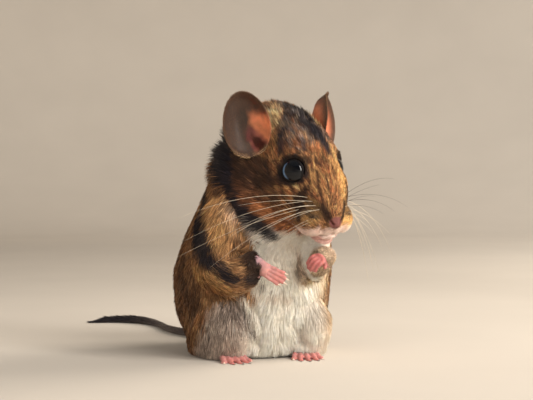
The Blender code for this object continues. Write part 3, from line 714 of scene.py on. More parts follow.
# %% Paths of the markings, in millimetres
# The paths down to NOSE_SHADE lie in the head's axes, and from NAPE_BAND on in x, y and z
CROWN_STRIPE = ((38.0, 3.2, 12.5), (32.0, 2.9, 14.6), (28.0, 1.5, 15.0), (24.0, 0.7, 15.0),
                (21.0, 0.6, 14.2), (18.4, 1.6, 13.2), (14.8, 2.7, 11.6))
CROWN_HALF_WIDTHS = (4.4, 4.0, 3.2, 2.4, 2.0, 1.7, 0.6)
BROW_STREAK = ((36.0, -0.7, 13.5), (32.0, -4.0, 14.0), (28.6, -6.0, 13.6), (26.4, -8.0, 12.2),
               (24.4, -9.4, 10.6), (22.0, -10.4, 8.8))
BROW_HALF_WIDTHS = (2.2, 2.2, 2.0, 1.8, 1.5, 0.8)
BLONDE_TUFT = ((38.4, -2.4, 12.4), (36.4, -5.4, 12.2), (33.4, -7.8, 11.8), (30.2, -9.2, 11.4),
               (28.4, -11.0, 9.6))
BEHIND_EYE = ((17.0, -12.8, 3.0), (21.0, -14.4, 0.8), (25.0, -15.4, 0.0), (30.0, -16.4, -1.0))
CHEEK_SHADE = ((13.0, -12.0, -1.5), (18.0, -14.0, -3.0), (23.0, -16.0, -4.0))
PAD_SHADE = ((9.0, -7.0, 5.4), (8.6, -7.9, 3.6), (7.8, -8.8, 1.6), (6.2, -9.0, -0.2), (4.6, -9.0, -1.4))
NOSE_SHADE = ((4.2, -3.9, 3.8), (2.8, -3.4, 2.9), (1.6, -2.8, 2.1), (0.6, -2.0, 1.2))
NAPE_BAND = ((-9.0, -8.0, 64.0), (-14.0, -14.6, 60.6), (-15.2, -16.2, 57.6), (-15.5, -18.7, 53.8),
             (-14.9, -20.4, 50.3), (-13.6, -22.0, 46.8), (-11.2, -23.6, 44.0), (-8.4, -24.7, 41.3),
             (-5.2, -25.2, 39.2), (-2.2, -25.6, 37.5))
NAPE_HALF_WIDTHS = (4.0, 3.4, 3.1, 2.7, 2.3, 2.1, 2.0, 1.8, 1.4, 0.7)
FLANK_STRIPE = ((-16.5, -5.0, 52.0), (-18.7, -8.4, 48.8), (-21.8, -12.8, 45.4), (-23.5, -16.3, 41.8),
                (-24.0, -20.0, 37.3), (-23.5, -22.5, 32.8), (-22.7, -24.3, 29.8), (-21.3, -26.3, 26.7),
                (-18.4, -28.2, 24.2))
FLANK_HALF_WIDTHS = (1.6, 2.2, 2.7, 2.8, 2.8, 2.6, 2.2, 1.7, 1.0)
SHOULDER_GOLD = ((-18.0, -13.5, 51.5), (-19.0, -17.0, 47.0), (-19.5, -20.0, 42.0), (-18.5, -22.0, 37.0))
ELBOW_PATCH = ((-14.6, -29.0, 23.9), (-11.0, -28.0, 23.9), (-7.0, -23.2, 24.2))
GOLD_BELT = ((-25.2, -17.0, 30.0), (-24.8, -21.0, 27.0), (-23.0, -23.4, 24.0), (-19.3, -24.4, 21.4),
             (-15.0, -24.6, 20.4))
# Painted shadow on the chest where the left arm meets it
ARMPIT_SHADOW = ((5.2, -24.0, 31.0), (5.6, -23.6, 27.0), (6.2, -23.0, 23.0))
# Partly mottle and partly painted shade on the rump
RUMP_PATCH = ((-24.4, -1.0, 28.0), (-24.2, -3.0, 23.0), (-23.0, -6.5, 18.0), (-22.8, -5.0, 13.0))
# Painted shadow under the near forearm, in the hollow between belly and thigh
THIGH_SHADOW = ((-16.8, -17.2, 17.5), (-14.0, -19.1, 17.0), (-11.5, -20.5, 14.7), (-9.4, -20.8, 11.7),
               (-7.6, -20.8, 8.6))
DORSAL_STRIPE = ((0.0, 0.0, 60.0), (0.0, 12.0, 45.0), (0.0, 22.0, 30.0), (0.0, 25.0, 15.0), (0.0, 20.0, 4.0))
# Below the wrists the cream front ends at this Y for each height, and above them at this X
CREAM_EDGE_HEIGHTS = (0.0, 7.0, 12.0, 16.0, 19.0, 21.0)
CREAM_EDGE_Y = (-5.0, -8.0, -11.0, -14.0, -18.5, -22.0)
CHEST_EDGE_HEIGHTS, CHEST_EDGE_X = (20.0, 26.0, 32.0, 38.0, 44.0), (9.0, 8.0, 8.6, 8.0, 6.5)


# %% Where the whiskers stand
WHISKER_ROWS, WHISKERS_A_ROW = 4, 4


def whisker_places():
    """Rows down each pad, each with places from front to back along it."""
    row, column = (grid.ravel().astype(float) for grid in np.meshgrid(
        np.arange(WHISKER_ROWS), np.arange(WHISKERS_A_ROW), indexing="ij"))
    return np.stack((2.4 + 1.6 * column + 0.3 * row, -6.2 - 0.5 * column,
                     4.2 - 1.7 * row + 0.2 * column), 1)


def whisker_spots(right):
    """Dark dashes at the whiskers' roots, drawn out along the lie of the hair."""
    spots = np.zeros(len(right))
    for place in whisker_places():
        offset = (right - place) * (0.75, 0.25, 1.6)
        spots = np.maximum(spots, np.exp(-((offset**2).sum(1) / 0.74**2)))
    return spots


# %% The colour of the coat anywhere
# The head's hairs, and the streaks in its colours, fan out from this place before the nose
FAN_MIDDLE = (-3.0, 0.0, -1.5)


def near_side(points):
    """Points moved to the animal's right: mirrored in X, and on the head in its middle plane."""
    on_trunk = points * (1.0, 1.0, 1.0)
    on_trunk[:, 0] = -np.abs(points[:, 0])
    places = in_head(points)
    places[:, 1] = -np.abs(places[:, 1])
    return mix(on_trunk, NOSE_TIP + places @ HEAD, on_head(points))


def band(points, path, half_widths, soft):
    """1 within the path's half width and 0 further out than that and soft."""
    gap, share = path_distance(points, path)
    wide = np.interp(share, np.linspace(0.0, 1.0, len(half_widths)), half_widths)
    return ease(gap, wide + soft, np.maximum(wide - 0.3 * soft, 0.0))


def cream_front(right, points):
    """The share of cream: the belly below the wrists, the chest between the arms above."""
    height, rough = right[:, 2], 1.3 * waves(points, 5.0, 3)
    edge_y = np.interp(height, CREAM_EDGE_HEIGHTS, CREAM_EDGE_Y)
    far_side = ease(points[:, 0], 2.0, 8.0)
    belly = ease(edge_y + 6.0 * far_side - right[:, 1] + rough, -2.2, 2.2)
    edge_x = np.interp(height, CHEST_EDGE_HEIGHTS, CHEST_EDGE_X)
    chest = ease(edge_x + right[:, 0] + 0.6 * rough, -1.6, 1.6) * (right[:, 1] < -12.0)
    chest = np.maximum(chest, far_side * ease(right[:, 1], -11.0, -17.0))
    share = lean(belly, chest, ease(height, 19.0, 23.0))
    return share * (1.0 - 0.96 * on_arms(points) * ease(height, 20.0, 23.0) * (1.0 - far_side))


def head_colours(points):
    """Orange-brown streaked with gold, slate and grey, with a pale muzzle and throat, and a painted highlight
    of bright gold on the left of the snout.
    """
    places = in_head(points)
    right = places * (1.0, 1.0, 1.0)
    right[:, 1] = -np.abs(right[:, 1])
    back, aside, up = right.T
    rough = waves(points, 2.4, 5)[:, None]
    start = points - head_point(FAN_MIDDLE)
    fan = unit(start) * (17.0 + 0.12 * np.linalg.norm(start, axis=1))[:, None]
    streak, dark_streak = waves(fan, 0.95, 6), waves(fan + 0.3 * rough, 1.25, 7)
    shade = mix(ORANGE * 0.9, GOLD * 0.92, np.clip(0.34 + 0.85 * streak, 0.0, 1.0))
    shade = mix(shade, UMBER * 0.8, np.clip(0.32 + 0.85 * dark_streak, 0.0, 0.9))
    # Painted highlight: the left side of the snout is painted bright gold for the rim light that falls on it
    shade = mix(shade, GOLD * 1.5, 0.85 * ease(places[:, 1], 0.5, 4.5) * ease(back, 24.0, 12.0))
    grey_crown = ease(back, 15.0, 24.0) * ease(up, 8.0, 12.0) * ease(-aside, 9.5, 5.5)
    shade = mix(shade, mix(GREY, SLATE, np.clip(0.35 - 0.6 * streak, 0.0, 0.9)),
                np.clip(grey_crown * (0.75 + 0.4 * dark_streak), 0.0, 1.0))
    cheek = ease(up, -2.0, -6.0) * ease(back, 4.0, 9.0)
    shade = mix(shade, ORANGE * (0.9 + 0.35 * np.clip(streak, -1.0, 1.0))[:, None], 0.8 * cheek)
    shade = mix(shade, UMBER * 0.8, 0.75 * band(right + 0.6 * rough, CHEEK_SHADE, (1.6, 2.6, 3.0), 2.4))
    shade = mix(shade, UMBER * 0.55, 0.9 * band(right + 0.5 * rough, BEHIND_EYE, (1.8, 3.4, 4.0, 3.4), 2.6))
    shade = mix(shade, BLONDE, 0.95 * band(right + 0.3 * rough, BLONDE_TUFT, (2.2, 2.7, 2.9, 2.3, 1.1), 1.2))
    brow = band(right + 0.4 * rough, BROW_STREAK, BROW_HALF_WIDTHS, 1.3)
    crown = band(places + 0.4 * rough, CROWN_STRIPE, CROWN_HALF_WIDTHS, 1.1)
    shade = mix(shade, SLATE, np.maximum(0.9 * brow, 0.96 * crown))
    pad = ease(np.linalg.norm((right - (4.8, -6.6, 1.4)) / (4.2, 3.6, 3.6), axis=1), 1.15, 0.8)
    shade = mix(shade, mix(GOLD * 0.36, GOLD * 1.3, ease(up, 1.5, -1.8)), 0.85 * pad)
    shade = mix(shade, SLATE * 0.7, 0.95 * whisker_spots(right))
    shade = mix(shade, UMBER * 0.35, 0.95 * band(right, PAD_SHADE, (0.7, 1.1, 1.3, 1.0, 0.4), 1.1))
    shade = mix(shade, UMBER * 0.4, 0.92 * band(right, NOSE_SHADE, (0.5, 0.8, 0.9, 0.6), 0.9))
    for side in (1.0, -1.0):
        middle, way, front, over = eye_frame(side)
        offset = points - middle
        away = np.linalg.norm(offset - (offset @ way)[:, None] * way, axis=1)
        tear = band(points, middle + way * 2.4 + np.outer((2.5, 4.6, 6.4), front), (1.7, 1.1, 0.2), 0.7)
        pale_line = band(points, middle + way * 2.0 - over * 2.3 + np.outer((0.0, 3.0, 6.0), front),
                         (0.2, 0.35, 0.2), 0.5)
        shade = mix(shade, BLONDE, 0.75 * pale_line)
        lid = np.maximum(ease(away, 5.1, 4.1) * ((offset @ way) > 0.0), tear)
        shade = mix(shade, LID_BLACK, 0.93 * lid)
    pale = ease(up + 0.75 * back + 0.7 * rough[:, 0], 0.2, -2.6) * ease(back, 9.0, 3.5)
    shade = mix(shade, mix(CREAM, LIP, 0.65), pale)
    lower_lip = ease(up + 0.2 * rough[:, 0], -4.4, -5.2) * ease(up, -8.0, -6.2) * ease(back, 5.5, 3.5)
    shade = mix(shade, mix(LIP, PINK, 0.8), 0.8 * lower_lip)
    throat_edge = -9.2 - 0.09 * back
    return mix(shade, CREAM, ease(up + 0.6 * rough[:, 0], throat_edge + 0.8, throat_edge - 1.2))


def trunk_colours(points, right):
    """Tan and orange ticked with umber, darker along the back, with a cream front. The rump is darkened
    partly by painted shade, and painted shadows lie on the near thigh and on the chest beside the left arm.
    """
    rough = waves(points, 3.0, 11)[:, None]
    mottle = waves(points * (1.0, 1.0, 0.3), 2.4, 12)
    shade = mix(TAN, ORANGE, np.clip(0.22 + 0.35 * waves(points * (1, 1, 0.3), 1.8, 13), 0.0, 1.0))
    shade = mix(shade, UMBER, np.clip(0.30 + 0.5 * mottle, 0.0, 0.9))
    # Darker umber low on the back and in a patch on the rump: partly the coat's mottle and partly painted
    # shade where the rump turns away from the light
    rump = ease(right[:, 1], -10.0, 8.0) * ease(right[:, 2], 50.0, 30.0)
    shade = mix(shade, UMBER, 0.4 * rump)
    shade = mix(shade, UMBER * 0.7, 0.75 * band(right + 0.9 * rough, RUMP_PATCH, (2.0, 2.8, 2.8, 1.5), 3.5))
    shade = mix(shade, SLATE, 0.75 * band(right + 0.8 * rough, DORSAL_STRIPE, (4.0, 5.0, 5.0, 4.0, 3.0), 5.0))
    cream = cream_front(right, points)
    # The outer thighs turn grey, partly the coat's grey-brown tint and partly painted shade; the near side,
    # which faces away from the light, gets the most
    near = np.where(points[:, 0] < 0.0, 1.0, 0.3)
    outer = on_haunches(points) * ease(-right[:, 0], 8.5, 14.0) * near
    front = mix(CREAM, THIGH_GREY * 0.85, 0.85 * outer)
    # Painted shadow in the hollow between belly and thigh, mostly on the near side
    thigh_shadow = band(right + 0.4 * rough, THIGH_SHADOW, (1.0, 2.0, 2.4, 1.6, 0.7), 2.0)
    front = mix(front, THIGH_GREY * 0.34, 0.85 * thigh_shadow * near)
    # Painted shadow on the chest beside the left arm
    front = mix(front, TAN * 0.5, 0.6 * band(points, ARMPIT_SHADOW, (0.6, 0.9, 0.5), 1.4))
    side_glow = ease(points[:, 0], 11.0, 17.0) * ease(right[:, 2], 6.0, 16.0)
    arm_glow = on_arms(points) * ease(points[:, 0] + 0.3 * (right[:, 1] + 27.0), 7.0, 11.0)
    front = mix(front, BLONDE * 0.85, 0.85 * np.maximum(0.8 * side_glow, arm_glow))
    return mix(shade, front, cream)


def coat_colours(points):
    """The coat's colour at each point, from the lightest ground to the darkest marking."""
    right = near_side(points)
    rough = waves(points, 3.0, 11)[:, None]
    shade = mix(trunk_colours(points, right), head_colours(points), on_head(points))
    shade = mix(shade, GOLD * 0.9, 0.8 * band(right + 0.7 * rough, GOLD_BELT, (1.2, 1.8, 2.0, 1.8, 1.0), 1.6))
    golden = band(right + 0.9 * rough, SHOULDER_GOLD, (1.8, 2.6, 2.6, 2.0), 2.6) * (1.0 - on_head(points))
    shade = mix(shade, GOLD, 0.48 * golden)
    shade = mix(shade, SLATE, 0.97 * band(right + 0.6 * rough, FLANK_STRIPE, FLANK_HALF_WIDTHS, 1.2))
    near = np.where(points[:, 0] < 0.0, 0.92, 0.0)
    shade = mix(shade, SLATE, near * band(right + 0.4 * rough, ELBOW_PATCH, (1.3, 1.7, 1.2), 1.3))
    cuff = on_arms(points) * ease(wrist_share(points) + 0.03 * rough[:, 0], 0.82, 0.92)
    shade = mix(shade, UMBER * 0.5, 0.9 * cuff * (points[:, 0] < 2.0))
    for route, tone in ((RIGHT_ARM, UMBER * 0.5), (LEFT_ARM, mix(GOLD, CREAM, 0.3) * 0.75)):
        to_wrist = np.linalg.norm(points - np.array(route[-1][:3]), axis=1)
        shade = mix(shade, tone, 0.9 * ease(to_wrist + 0.4 * rough[:, 0], 5.8, 4.4))
    return mix(shade, SLATE, 0.98 * band(right + 0.6 * rough, NAPE_BAND, NAPE_HALF_WIDTHS, 1.5))


# %% Paint the skin with the same markings
def nose_share(points):
    """1 on the bare nose and the lips' edge, and 0 where hair grows."""
    back, aside, up = in_head(points).T
    pad = np.linalg.norm(np.stack((back - 0.3, aside * 0.85, (up - 0.7) * 1.1), 1), axis=1)
    lips = groove_depth(points, ("mouth", "cleft")) / 0.5
    return np.maximum(ease(pad, 2.15, 1.65), ease(lips, 0.3, 0.85))


skin_colours = coat_colours(points)
skin_colours = skin_colours * (0.68 + 0.22 * ease(skin_colours.min(1), 0.25, 0.5))[:, None]
bare = nose_share(points)
skin_colours = mix(skin_colours, NOSE_BROWN, bare)
# Painted shade: the nostrils, the cleft and the mouth's line darken to near black with their depth
skin_colours = mix(skin_colours, DEEP_PINK * 0.22, np.clip(shaded_grooves / 0.6, 0.0, 1.0) ** 1.1)
paint(skin, "markings", skin_colours)
print("mean colour of the skin:", skin_colours.mean(0).round(3))

# %% [markdown]
# ## A flat map of the skin
#
# For colours to be baked into images, each tuft needs a place of its own in them. So the
# skin is cut into flat islands by the direction of its faces, and each tuft later gets a
# small patch at the place of its root.

# %% Unwrap the skin
def unwrap(obj):
    """Cuts a piece into flat islands, packed side by side in its UV map."""
    obj.data.uv_layers.new(name="OFBake")
    bpy.context.view_layer.objects.active = obj
    obj.select_set(True)
    bpy.ops.object.mode_set(mode="EDIT")
    bpy.ops.mesh.select_all(action="SELECT")
    bpy.ops.uv.smart_project(angle_limit=math.radians(66.0), island_margin=0.004)
    bpy.ops.object.mode_set(mode="OBJECT")
    obj.select_set(False)


def surface_of(obj):
    """A piece's points, normals, triangles and the flat places of each triangle's corners."""
    obj.data.calc_loop_triangles()
    corners = read(obj, "loop_triangles", "vertices", 3, np.int32)
    loops = read(obj, "loop_triangles", "loops", 3, np.int32)
    flat = np.empty(len(obj.data.loops) * 2, np.float32)
    obj.data.uv_layers["OFBake"].uv.foreach_get("vector", flat)
    return {"points": read(obj) / MM, "normals": read(obj, "vertex_normals", "vector"),
            "triangles": corners, "flat": flat.reshape(-1, 2)[loops]}


unwrap(skin)
skin_surface = surface_of(skin)
print("skin triangles:", len(skin_surface["triangles"]))

# %% [markdown]
# ## The coat: how a tuft is made
#
# Real fur is far too fine to model hair by hair. A tuft here stands for a small lock: a thin
# closed blade that starts as a point under the skin, is widest near its middle, and tapers to
# its tip. Four points and four triangles are enough, and hundreds of thousands of them still
# make a light mesh. Faces so small would glitter if each were lit by its own tilt, so a
# blade's upper faces take normals near the skin's own, turned a little to either side.
#
# Roots are spread evenly by area. Neighbouring tips are drawn together, as fur falls into
# locks. Each tuft takes its colour from the markings just past its root, with a dark root
# and a tip that is lighter, or now and then black, which is what makes such a coat look
# grizzled.

# %% Spread the roots
def scatter(surface, density):
    """Roots over triangles, as many on each as its area times the density at its middle."""
    corners = surface["points"][surface["triangles"]]
    sides = np.cross(corners[:, 1] - corners[:, 0], corners[:, 2] - corners[:, 0])
    expected = 0.5 * np.linalg.norm(sides, axis=1) * density(corners.mean(1))
    reached = np.cumsum(expected)
    count = int(reached[-1])
    stops = np.arange(count) + rng.uniform(size=count)
    index = np.minimum(np.searchsorted(reached, stops), len(corners) - 1)
    shares = rng.uniform(size=(2, count))
    shares = np.where(shares.sum(0) > 1.0, 1.0 - shares, shares)
    weights = np.stack((1.0 - shares.sum(0), shares[0], shares[1]), 1)[..., None]
    normals = unit((surface["normals"][surface["triangles"][index]] * weights).sum(1))
    return {"place": (corners[index] * weights).sum(1), "normal": normals,
            "flat": (surface["flat"][index] * weights).sum(1)}


def drawn_together(tips, roots, size, share, seed):
    """Tips moved a share of the way to the mean tip of all roots in the same wavy cell."""
    cells = np.floor(roots / size + 0.6 * waves(roots, size * 3.0, seed)[:, None]).astype(np.int64)
    keys = cells[:, 0] * 4000003 + cells[:, 1] * 20011 + cells[:, 2]
    _, group = np.unique(keys, return_inverse=True)
    counts = np.bincount(group)
    mean = np.stack([np.bincount(group, tips[:, k]) / counts for k in range(3)], 1)
    crowded = (counts > 1)[group] * share
    return mix(tips, mean[group], crowded), group


# A blade's points are its root, the two ends of its widest line, and its tip
BLADE = ((0, 1, 2), (3, 2, 1), (0, 3, 1), (0, 2, 3))


def soften(mesh, normal, way, side):
    """Corner normals: near the skin's, leaning 39 degrees to either side on top."""
    own = unit(normal + 0.16 * rng.normal(size=normal.shape))
    above = np.stack((own, unit(own + 0.8 * side), unit(own - 0.8 * side), unit(own + 0.3 * way)), 1)
    below = np.stack((unit(side - 0.5 * normal), unit(-side - 0.5 * normal)), 1)
    corners = np.concatenate((above[:, [0, 1, 2, 3, 2, 1]], np.repeat(below, 3, axis=1)), 1)
    mesh.normals_split_custom_set(corners.reshape(-1, 3).astype(np.float32))


def tufts(name, roots, way, length, width, lift, colours, flat_size=0.003):
    """Blades as arrays: root, both ends of the widest line, and tip of every tuft."""
    place, normal = roots["place"], roots["normal"]
    count = len(place)
    side = np.cross(way, normal)
    root = place - normal * (0.10 + 0.02 * length)[:, None] - way * (0.06 * length)[:, None]
    tip = place + way * (length * np.cos(lift))[:, None] + normal * (np.sin(lift) * length)[:, None]
    cell = 0.22 * float(np.median(length))
    tip, group = drawn_together(tip, place, cell, 0.4, len(name))
    roll = 0.3 * rng.normal(size=(count, 1))
    half = (side * np.cos(roll) + normal * np.sin(roll)) * (0.5 * width)[:, None]
    middle = root + (tip - root) * 0.46 + normal * (0.5 * width + 0.025 * length)[:, None]
    points = np.stack((root, middle + half, middle - half, tip), 1)
    points[..., 2] = np.maximum(points[..., 2], 0.08)
    triangles = (np.arange(count)[:, None, None] * 4 + np.array(BLADE)).reshape(-1, 3)
    obj = piece_from(name, [(points.reshape(-1, 3), np.zeros((0, 4), int), triangles)], outward=False)
    soften(obj.data, normal, way, side)
    corner_flat = np.array(((0.0, -0.5), (-0.5, 0.0), (0.5, 0.0), (0.0, 0.5))) * flat_size
    flat = roots["flat"][:, None] + corner_flat
    layer = obj.data.uv_layers.new(name="OFBake")
    layer.uv.foreach_set("vector", flat.reshape(-1, 2)[triangles.ravel()].astype(np.float32).ravel())
    paint(obj, "markings", colours(place + way * (0.2 * length)[:, None], group).reshape(-1, 3))
    return obj


# %% The colours along each tuft
def grizzled(places, group):
    """Dark root, plain middle, and a lighter or a black tip; each lock and tuft differs."""
    draw = np.random.default_rng(7)
    spread = 0.15 + 0.35 * ease(np.linalg.norm(places - NOSE_TIP, axis=1), 14.0, 40.0)
    shade = coat_colours(places + draw.normal(size=places.shape) * spread[:, None])
    lock = draw.normal(size=group.max() + 1)[group]
    own = draw.normal(size=len(places))
    pale = ease(shade.min(1), 0.22, 0.5)
    shade = shade * np.exp((0.24 * lock + 0.34 * own) * (1.0 - 0.85 * pale) - 0.04)[:, None]
    root = mix(shade * 0.45, shade * 0.95, pale)
    black = (draw.uniform(size=len(places)) < 0.26 * (1.0 - pale)) * 0.75
    tip = mix(np.minimum(shade * 1.2 + 0.004, 0.9), SLATE * 0.8, black)
    middle = mix(shade, SLATE, 0.25 * black)
    return np.clip(np.stack((root, middle, middle, tip), 1), 0.0, 0.92)


# %% The lie, length and density of the coat
def arm_flow(points):
    """The direction from shoulder to wrist at the nearest place of the nearer arm."""
    best, flow = np.full(len(points), 1e9), np.zeros((len(points), 3))
    for route in (RIGHT_ARM, LEFT_ARM):
        rows = between(np.array(route)[:, :3], 17)
        gap, share = path_distance(points, rows)
        ways = unit(np.gradient(rows, axis=0))
        here = np.stack([np.interp(share, np.linspace(0, 1, 17), ways[:, k]) for k in range(3)], 1)
        flow = np.where((gap < best)[:, None], here, flow)
        best = np.minimum(best, gap)
    return flow


def lie_of_coat(points, normals):
    """Hairs point back from the nose over the head, down the trunk and along the arms."""
    head_flow = unit(points - head_point(FAN_MIDDLE))
    up = in_head(points)[:, 2]
    head_flow = head_flow - 0.25 * HEAD[2] * ease(up, 4.0, -8.0)[:, None]
    trunk_flow = np.stack((0.16 * np.sign(points[:, 0]), 0.12 + 0.0 * points[:, 1],
                           -1.0 + 0.0 * points[:, 2]), 1)
    haunch_flow = np.array((0.0, -0.22, -1.0))
    flow = mix(trunk_flow, haunch_flow, 0.8 * on_haunches(points))
    flow = mix(flow, arm_flow(points), on_arms(points))
    flow = mix(flow, head_flow, on_head(points))
    flow = unit(flow - normals * (flow * normals).sum(1)[:, None])
    swing = np.radians(13.0 * waves(points, 8.0, 21) + 8.0 * waves(points, 2.5, 22)
                       + rng.normal(size=len(points)) * 7.0)
    across = np.cross(normals, flow)
    return unit(flow * np.cos(swing)[:, None] + across * np.sin(swing)[:, None])


def nape_share(points):
    """1 at the nape behind the ears, where the coat stands out in wisps."""
    return band(near_side(points), NAPE_BAND[:4], (3.0, 3.5, 3.0, 1.0), 4.0)


def coat_length(points):
    """1 mm on the lips, 1.2 by the nose, 4.4 on the cheeks, 5 on haunches, 5.6 on the trunk,
    near 7 at the nape and 3 at the right wrist; shorter by eye and ear, on the left arm and
    near the floor."""
    reach = np.linalg.norm(points - NOSE_TIP, axis=1)
    length = 1.2 + 3.2 * ease(reach, 4.0, 30.0)
    for side in (1.0, -1.0):
        to_eye = np.linalg.norm(points - eye_frame(side)[0], axis=1)
        length = lean(length, 1.25, ease(to_eye, 8.5, 4.5))
    length = lean(5.6, length, on_head(points))
    length = lean(length, 5.0, on_haunches(points))
    on_arm = 4.6 - 1.4 * ease(points[:, 0], 2.0, 6.0) - 1.7 * ease(wrist_share(points), 0.6, 1.0)
    length = lean(length, on_arm, on_arms(points))
    length = lean(length, 7.0, 0.8 * nape_share(points))
    for side in (1.0, -1.0):
        under, share, height = ear_floor(points, side)
        length = lean(length, 2.3, ease(share, 1.5, 1.15) * (height > under - 1.6))
    back, _, up = in_head(points).T
    muzzle = ease(up + 0.55 * back, -0.4, -2.8) * ease(back, 10.0, 5.0) * on_head(points)
    length = lean(length, 0.95, muzzle)
    return length * (0.45 + 0.55 * ease(points[:, 2], 0.5, 9.0))


def coat_lift(points):
    """How steeply tufts rise, in radians: flat on the face, and loose at nape and crown."""
    lift = lean(11.0, 8.0, on_head(points))
    loose = np.maximum(0.8 * crown_share(points), 1.6 * nape_share(points))
    wisps = 1.0 + 0.9 * waves(points, 3.4, 23)
    return np.radians(lift + 17.0 * loose * np.clip(wisps, 0.1, 2.0))


def tufts_per_mm2(points):
    """Densest on the face, where they are smallest; none on bare skin or under the seat."""
    reach = np.linalg.norm(points - NOSE_TIP, axis=1)
    density = lean(22.0, 48.0 - 18.0 * ease(reach, 14.0, 36.0), on_head(points))
    density = lean(density, 28.0 + 12.0 * ease(wrist_share(points), 0.6, 1.0), on_arms(points))
    density = density * (1.0 - nose_share(points)) * ease(points[:, 2], 0.25, 1.2)
    for side in (1.0, -1.0):
        under, share, height = ear_floor(points, side)
        density = density * np.where((share < 1.04) & (height > under - 1.4), 0.0, 1.0)
        middle, way = eye_frame(side)[:2]
        offset = points - middle
        away = np.linalg.norm(offset - (offset @ way)[:, None] * way, axis=1)
        density = density * (1.0 - ease(away, 3.75, 3.45) * ((offset @ way) > 0.0))
    return density


# %% Grow the coat
# Each part of the coat is divided into pieces of no more tufts than this
TUFT_LIMIT = 48000
roots = scatter(skin_surface, tufts_per_mm2)
places = roots["place"]
coat_parts = np.select(
    [np.linalg.norm(places - NOSE_TIP, axis=1) < 21.0, on_head(places) > 0.5,
     on_arms(places) > 0.5, on_haunches(places) > 0.5, places[:, 1] < 0.0],
    ["coat_face", "coat_head", "coat_arms", "coat_haunches", "coat_front"], "coat_back")
way = lie_of_coat(places, roots["normal"])
length = coat_length(places) * rng.uniform(0.72, 1.2, len(places))
width = (0.068 + 0.018 * length) * rng.uniform(0.7, 1.3, len(places))
lift = coat_lift(places) * rng.uniform(0.45, 1.6, len(places))
coat = []
for part in sorted(set(coat_parts.tolist())):
    chosen = np.flatnonzero(coat_parts == part)
    for number, some in enumerate(np.array_split(chosen, len(chosen) // TUFT_LIMIT + 1)):
        part_roots = {key: values[some] for key, values in roots.items()}
        coat.append(tufts(f"{part}_{number + 1}", part_roots, way[some], length[some],
                          width[some], lift[some], grizzled))
        print(coat[-1].name, len(some), "tufts")

# %% [markdown]
# ## Eyes and lids
#
# A gerbil's eye is nearly all iris and pupil, so dark that it looks black, under a clear
# bulging cornea. A dull blue crescent low in it is a painted reflection, standing for the
# glow that the picture has there. One grid of latitude and longitude round the eye's own axis
# gives the globe, and its radius grows a little in front for the cornea. The lids' bare black
# edge is a thin tube laid on the globe, drawn out to a corner towards the nose.

# %% Make the eyes
def on_globe(side, away, turn, lift):
    """A point over the globe: away from its axis, turned from the nose upwards, raised by lift."""
    middle, way, front, over = eye_frame(side)
    height = np.sqrt(np.clip(EYE_RADIUS**2 - away**2, 0.0, None)) + lift
    flat = front * (away * np.cos(turn))[..., None] + over * (away * np.sin(turn))[..., None]
    return middle + flat + way * height[..., None]


def make_eye(side, word):
    """Rings of latitude: radius = globe + cornea, which is a bell curve round the axis."""
    middle, way, front, over = eye_frame(side)
    rise = np.linspace(0.02, math.pi - 0.05, 44)[:, None]
    turn = np.linspace(0.0, 2.0 * math.pi, 64, endpoint=False)[None]
    radius = EYE_RADIUS + 0.16 * np.exp(-((rise / 0.75) ** 4))
    flat = front * np.cos(turn)[..., None] + over * np.sin(turn)[..., None]
    rings = middle + (flat * np.sin(rise)[..., None] + way * np.cos(rise)[..., None]) * radius[..., None]
    eye = piece_from(f"eyeball_{word}", [closed_grid(rings)])
    offset = read(eye) / MM - middle
    latitude = np.arccos(np.clip(unit(offset) @ way, -1.0, 1.0))
    # Painted reflection: a dull blue crescent low in the iris's rim
    low = ease(unit(offset) @ (-0.80 * over - 0.61 * front), 0.22, 0.62)
    reflection_ring = ease(latitude, 0.50, 0.66) * ease(latitude, 0.88, 0.76)
    shade = mix(colour(5, 7, 12), colour(98, 126, 158), reflection_ring * low)
    paint(eye, "markings", mix(shade, colour(20, 14, 12), ease(latitude, 1.0, 1.2)))
    return eye


LID_STEPS, LID_SIDES = 72, 12


def make_lid_edge(side, word):
    """A closed tube on the globe; its distance from the axis peaks towards the nose and behind."""
    turn = np.linspace(0.0, 2.0 * math.pi, LID_STEPS, endpoint=False)
    corner = np.exp(-((np.angle(np.exp(1j * (turn + 0.25))) / 0.42) ** 2))
    rear = np.exp(-((np.angle(np.exp(1j * (turn - math.pi))) / 0.5) ** 2))
    away = 3.02 + 0.70 * corner + 0.16 * rear + 0.04 * np.sin(7.0 * turn)
    path = on_globe(side, away, turn, 0.02 + 0.0 * turn)
    outward = unit(path - eye_frame(side)[0])
    along = unit(np.roll(path, -1, 0) - np.roll(path, 1, 0))
    wide = np.cross(along, outward)
    thick = 0.22 + 0.30 * corner + 0.06 * np.sin(turn) ** 2 + 0.02 * np.cos(11.0 * turn)
    roll = np.linspace(0.0, 2.0 * math.pi, LID_SIDES, endpoint=False)
    ring = (wide[:, None] * np.cos(roll)[:, None] * 1.35 + outward[:, None] * np.sin(roll)[:, None] * 0.62)
    points = path[:, None] + wide[:, None] * 0.2 * thick[:, None, None] + ring * thick[:, None, None]
    k, j = np.meshgrid(np.arange(LID_STEPS), np.arange(LID_SIDES), indexing="ij")
    near, far, after = k * LID_SIDES, (k + 1) % LID_STEPS * LID_SIDES, (j + 1) % LID_SIDES
    quads = np.stack((near + j, near + after, far + after, far + j), -1).reshape(-1, 4)
    return piece_from(f"lid_edge_{word}", [(points.reshape(-1, 3), quads, np.zeros((0, 3), int))])


eyes = [make_eye(side, word) for side, word in SIDES]
lid_edges = [make_lid_edge(side, word) for side, word in SIDES]
print("eyes", EYE_RADIUS * 2, "mm across")

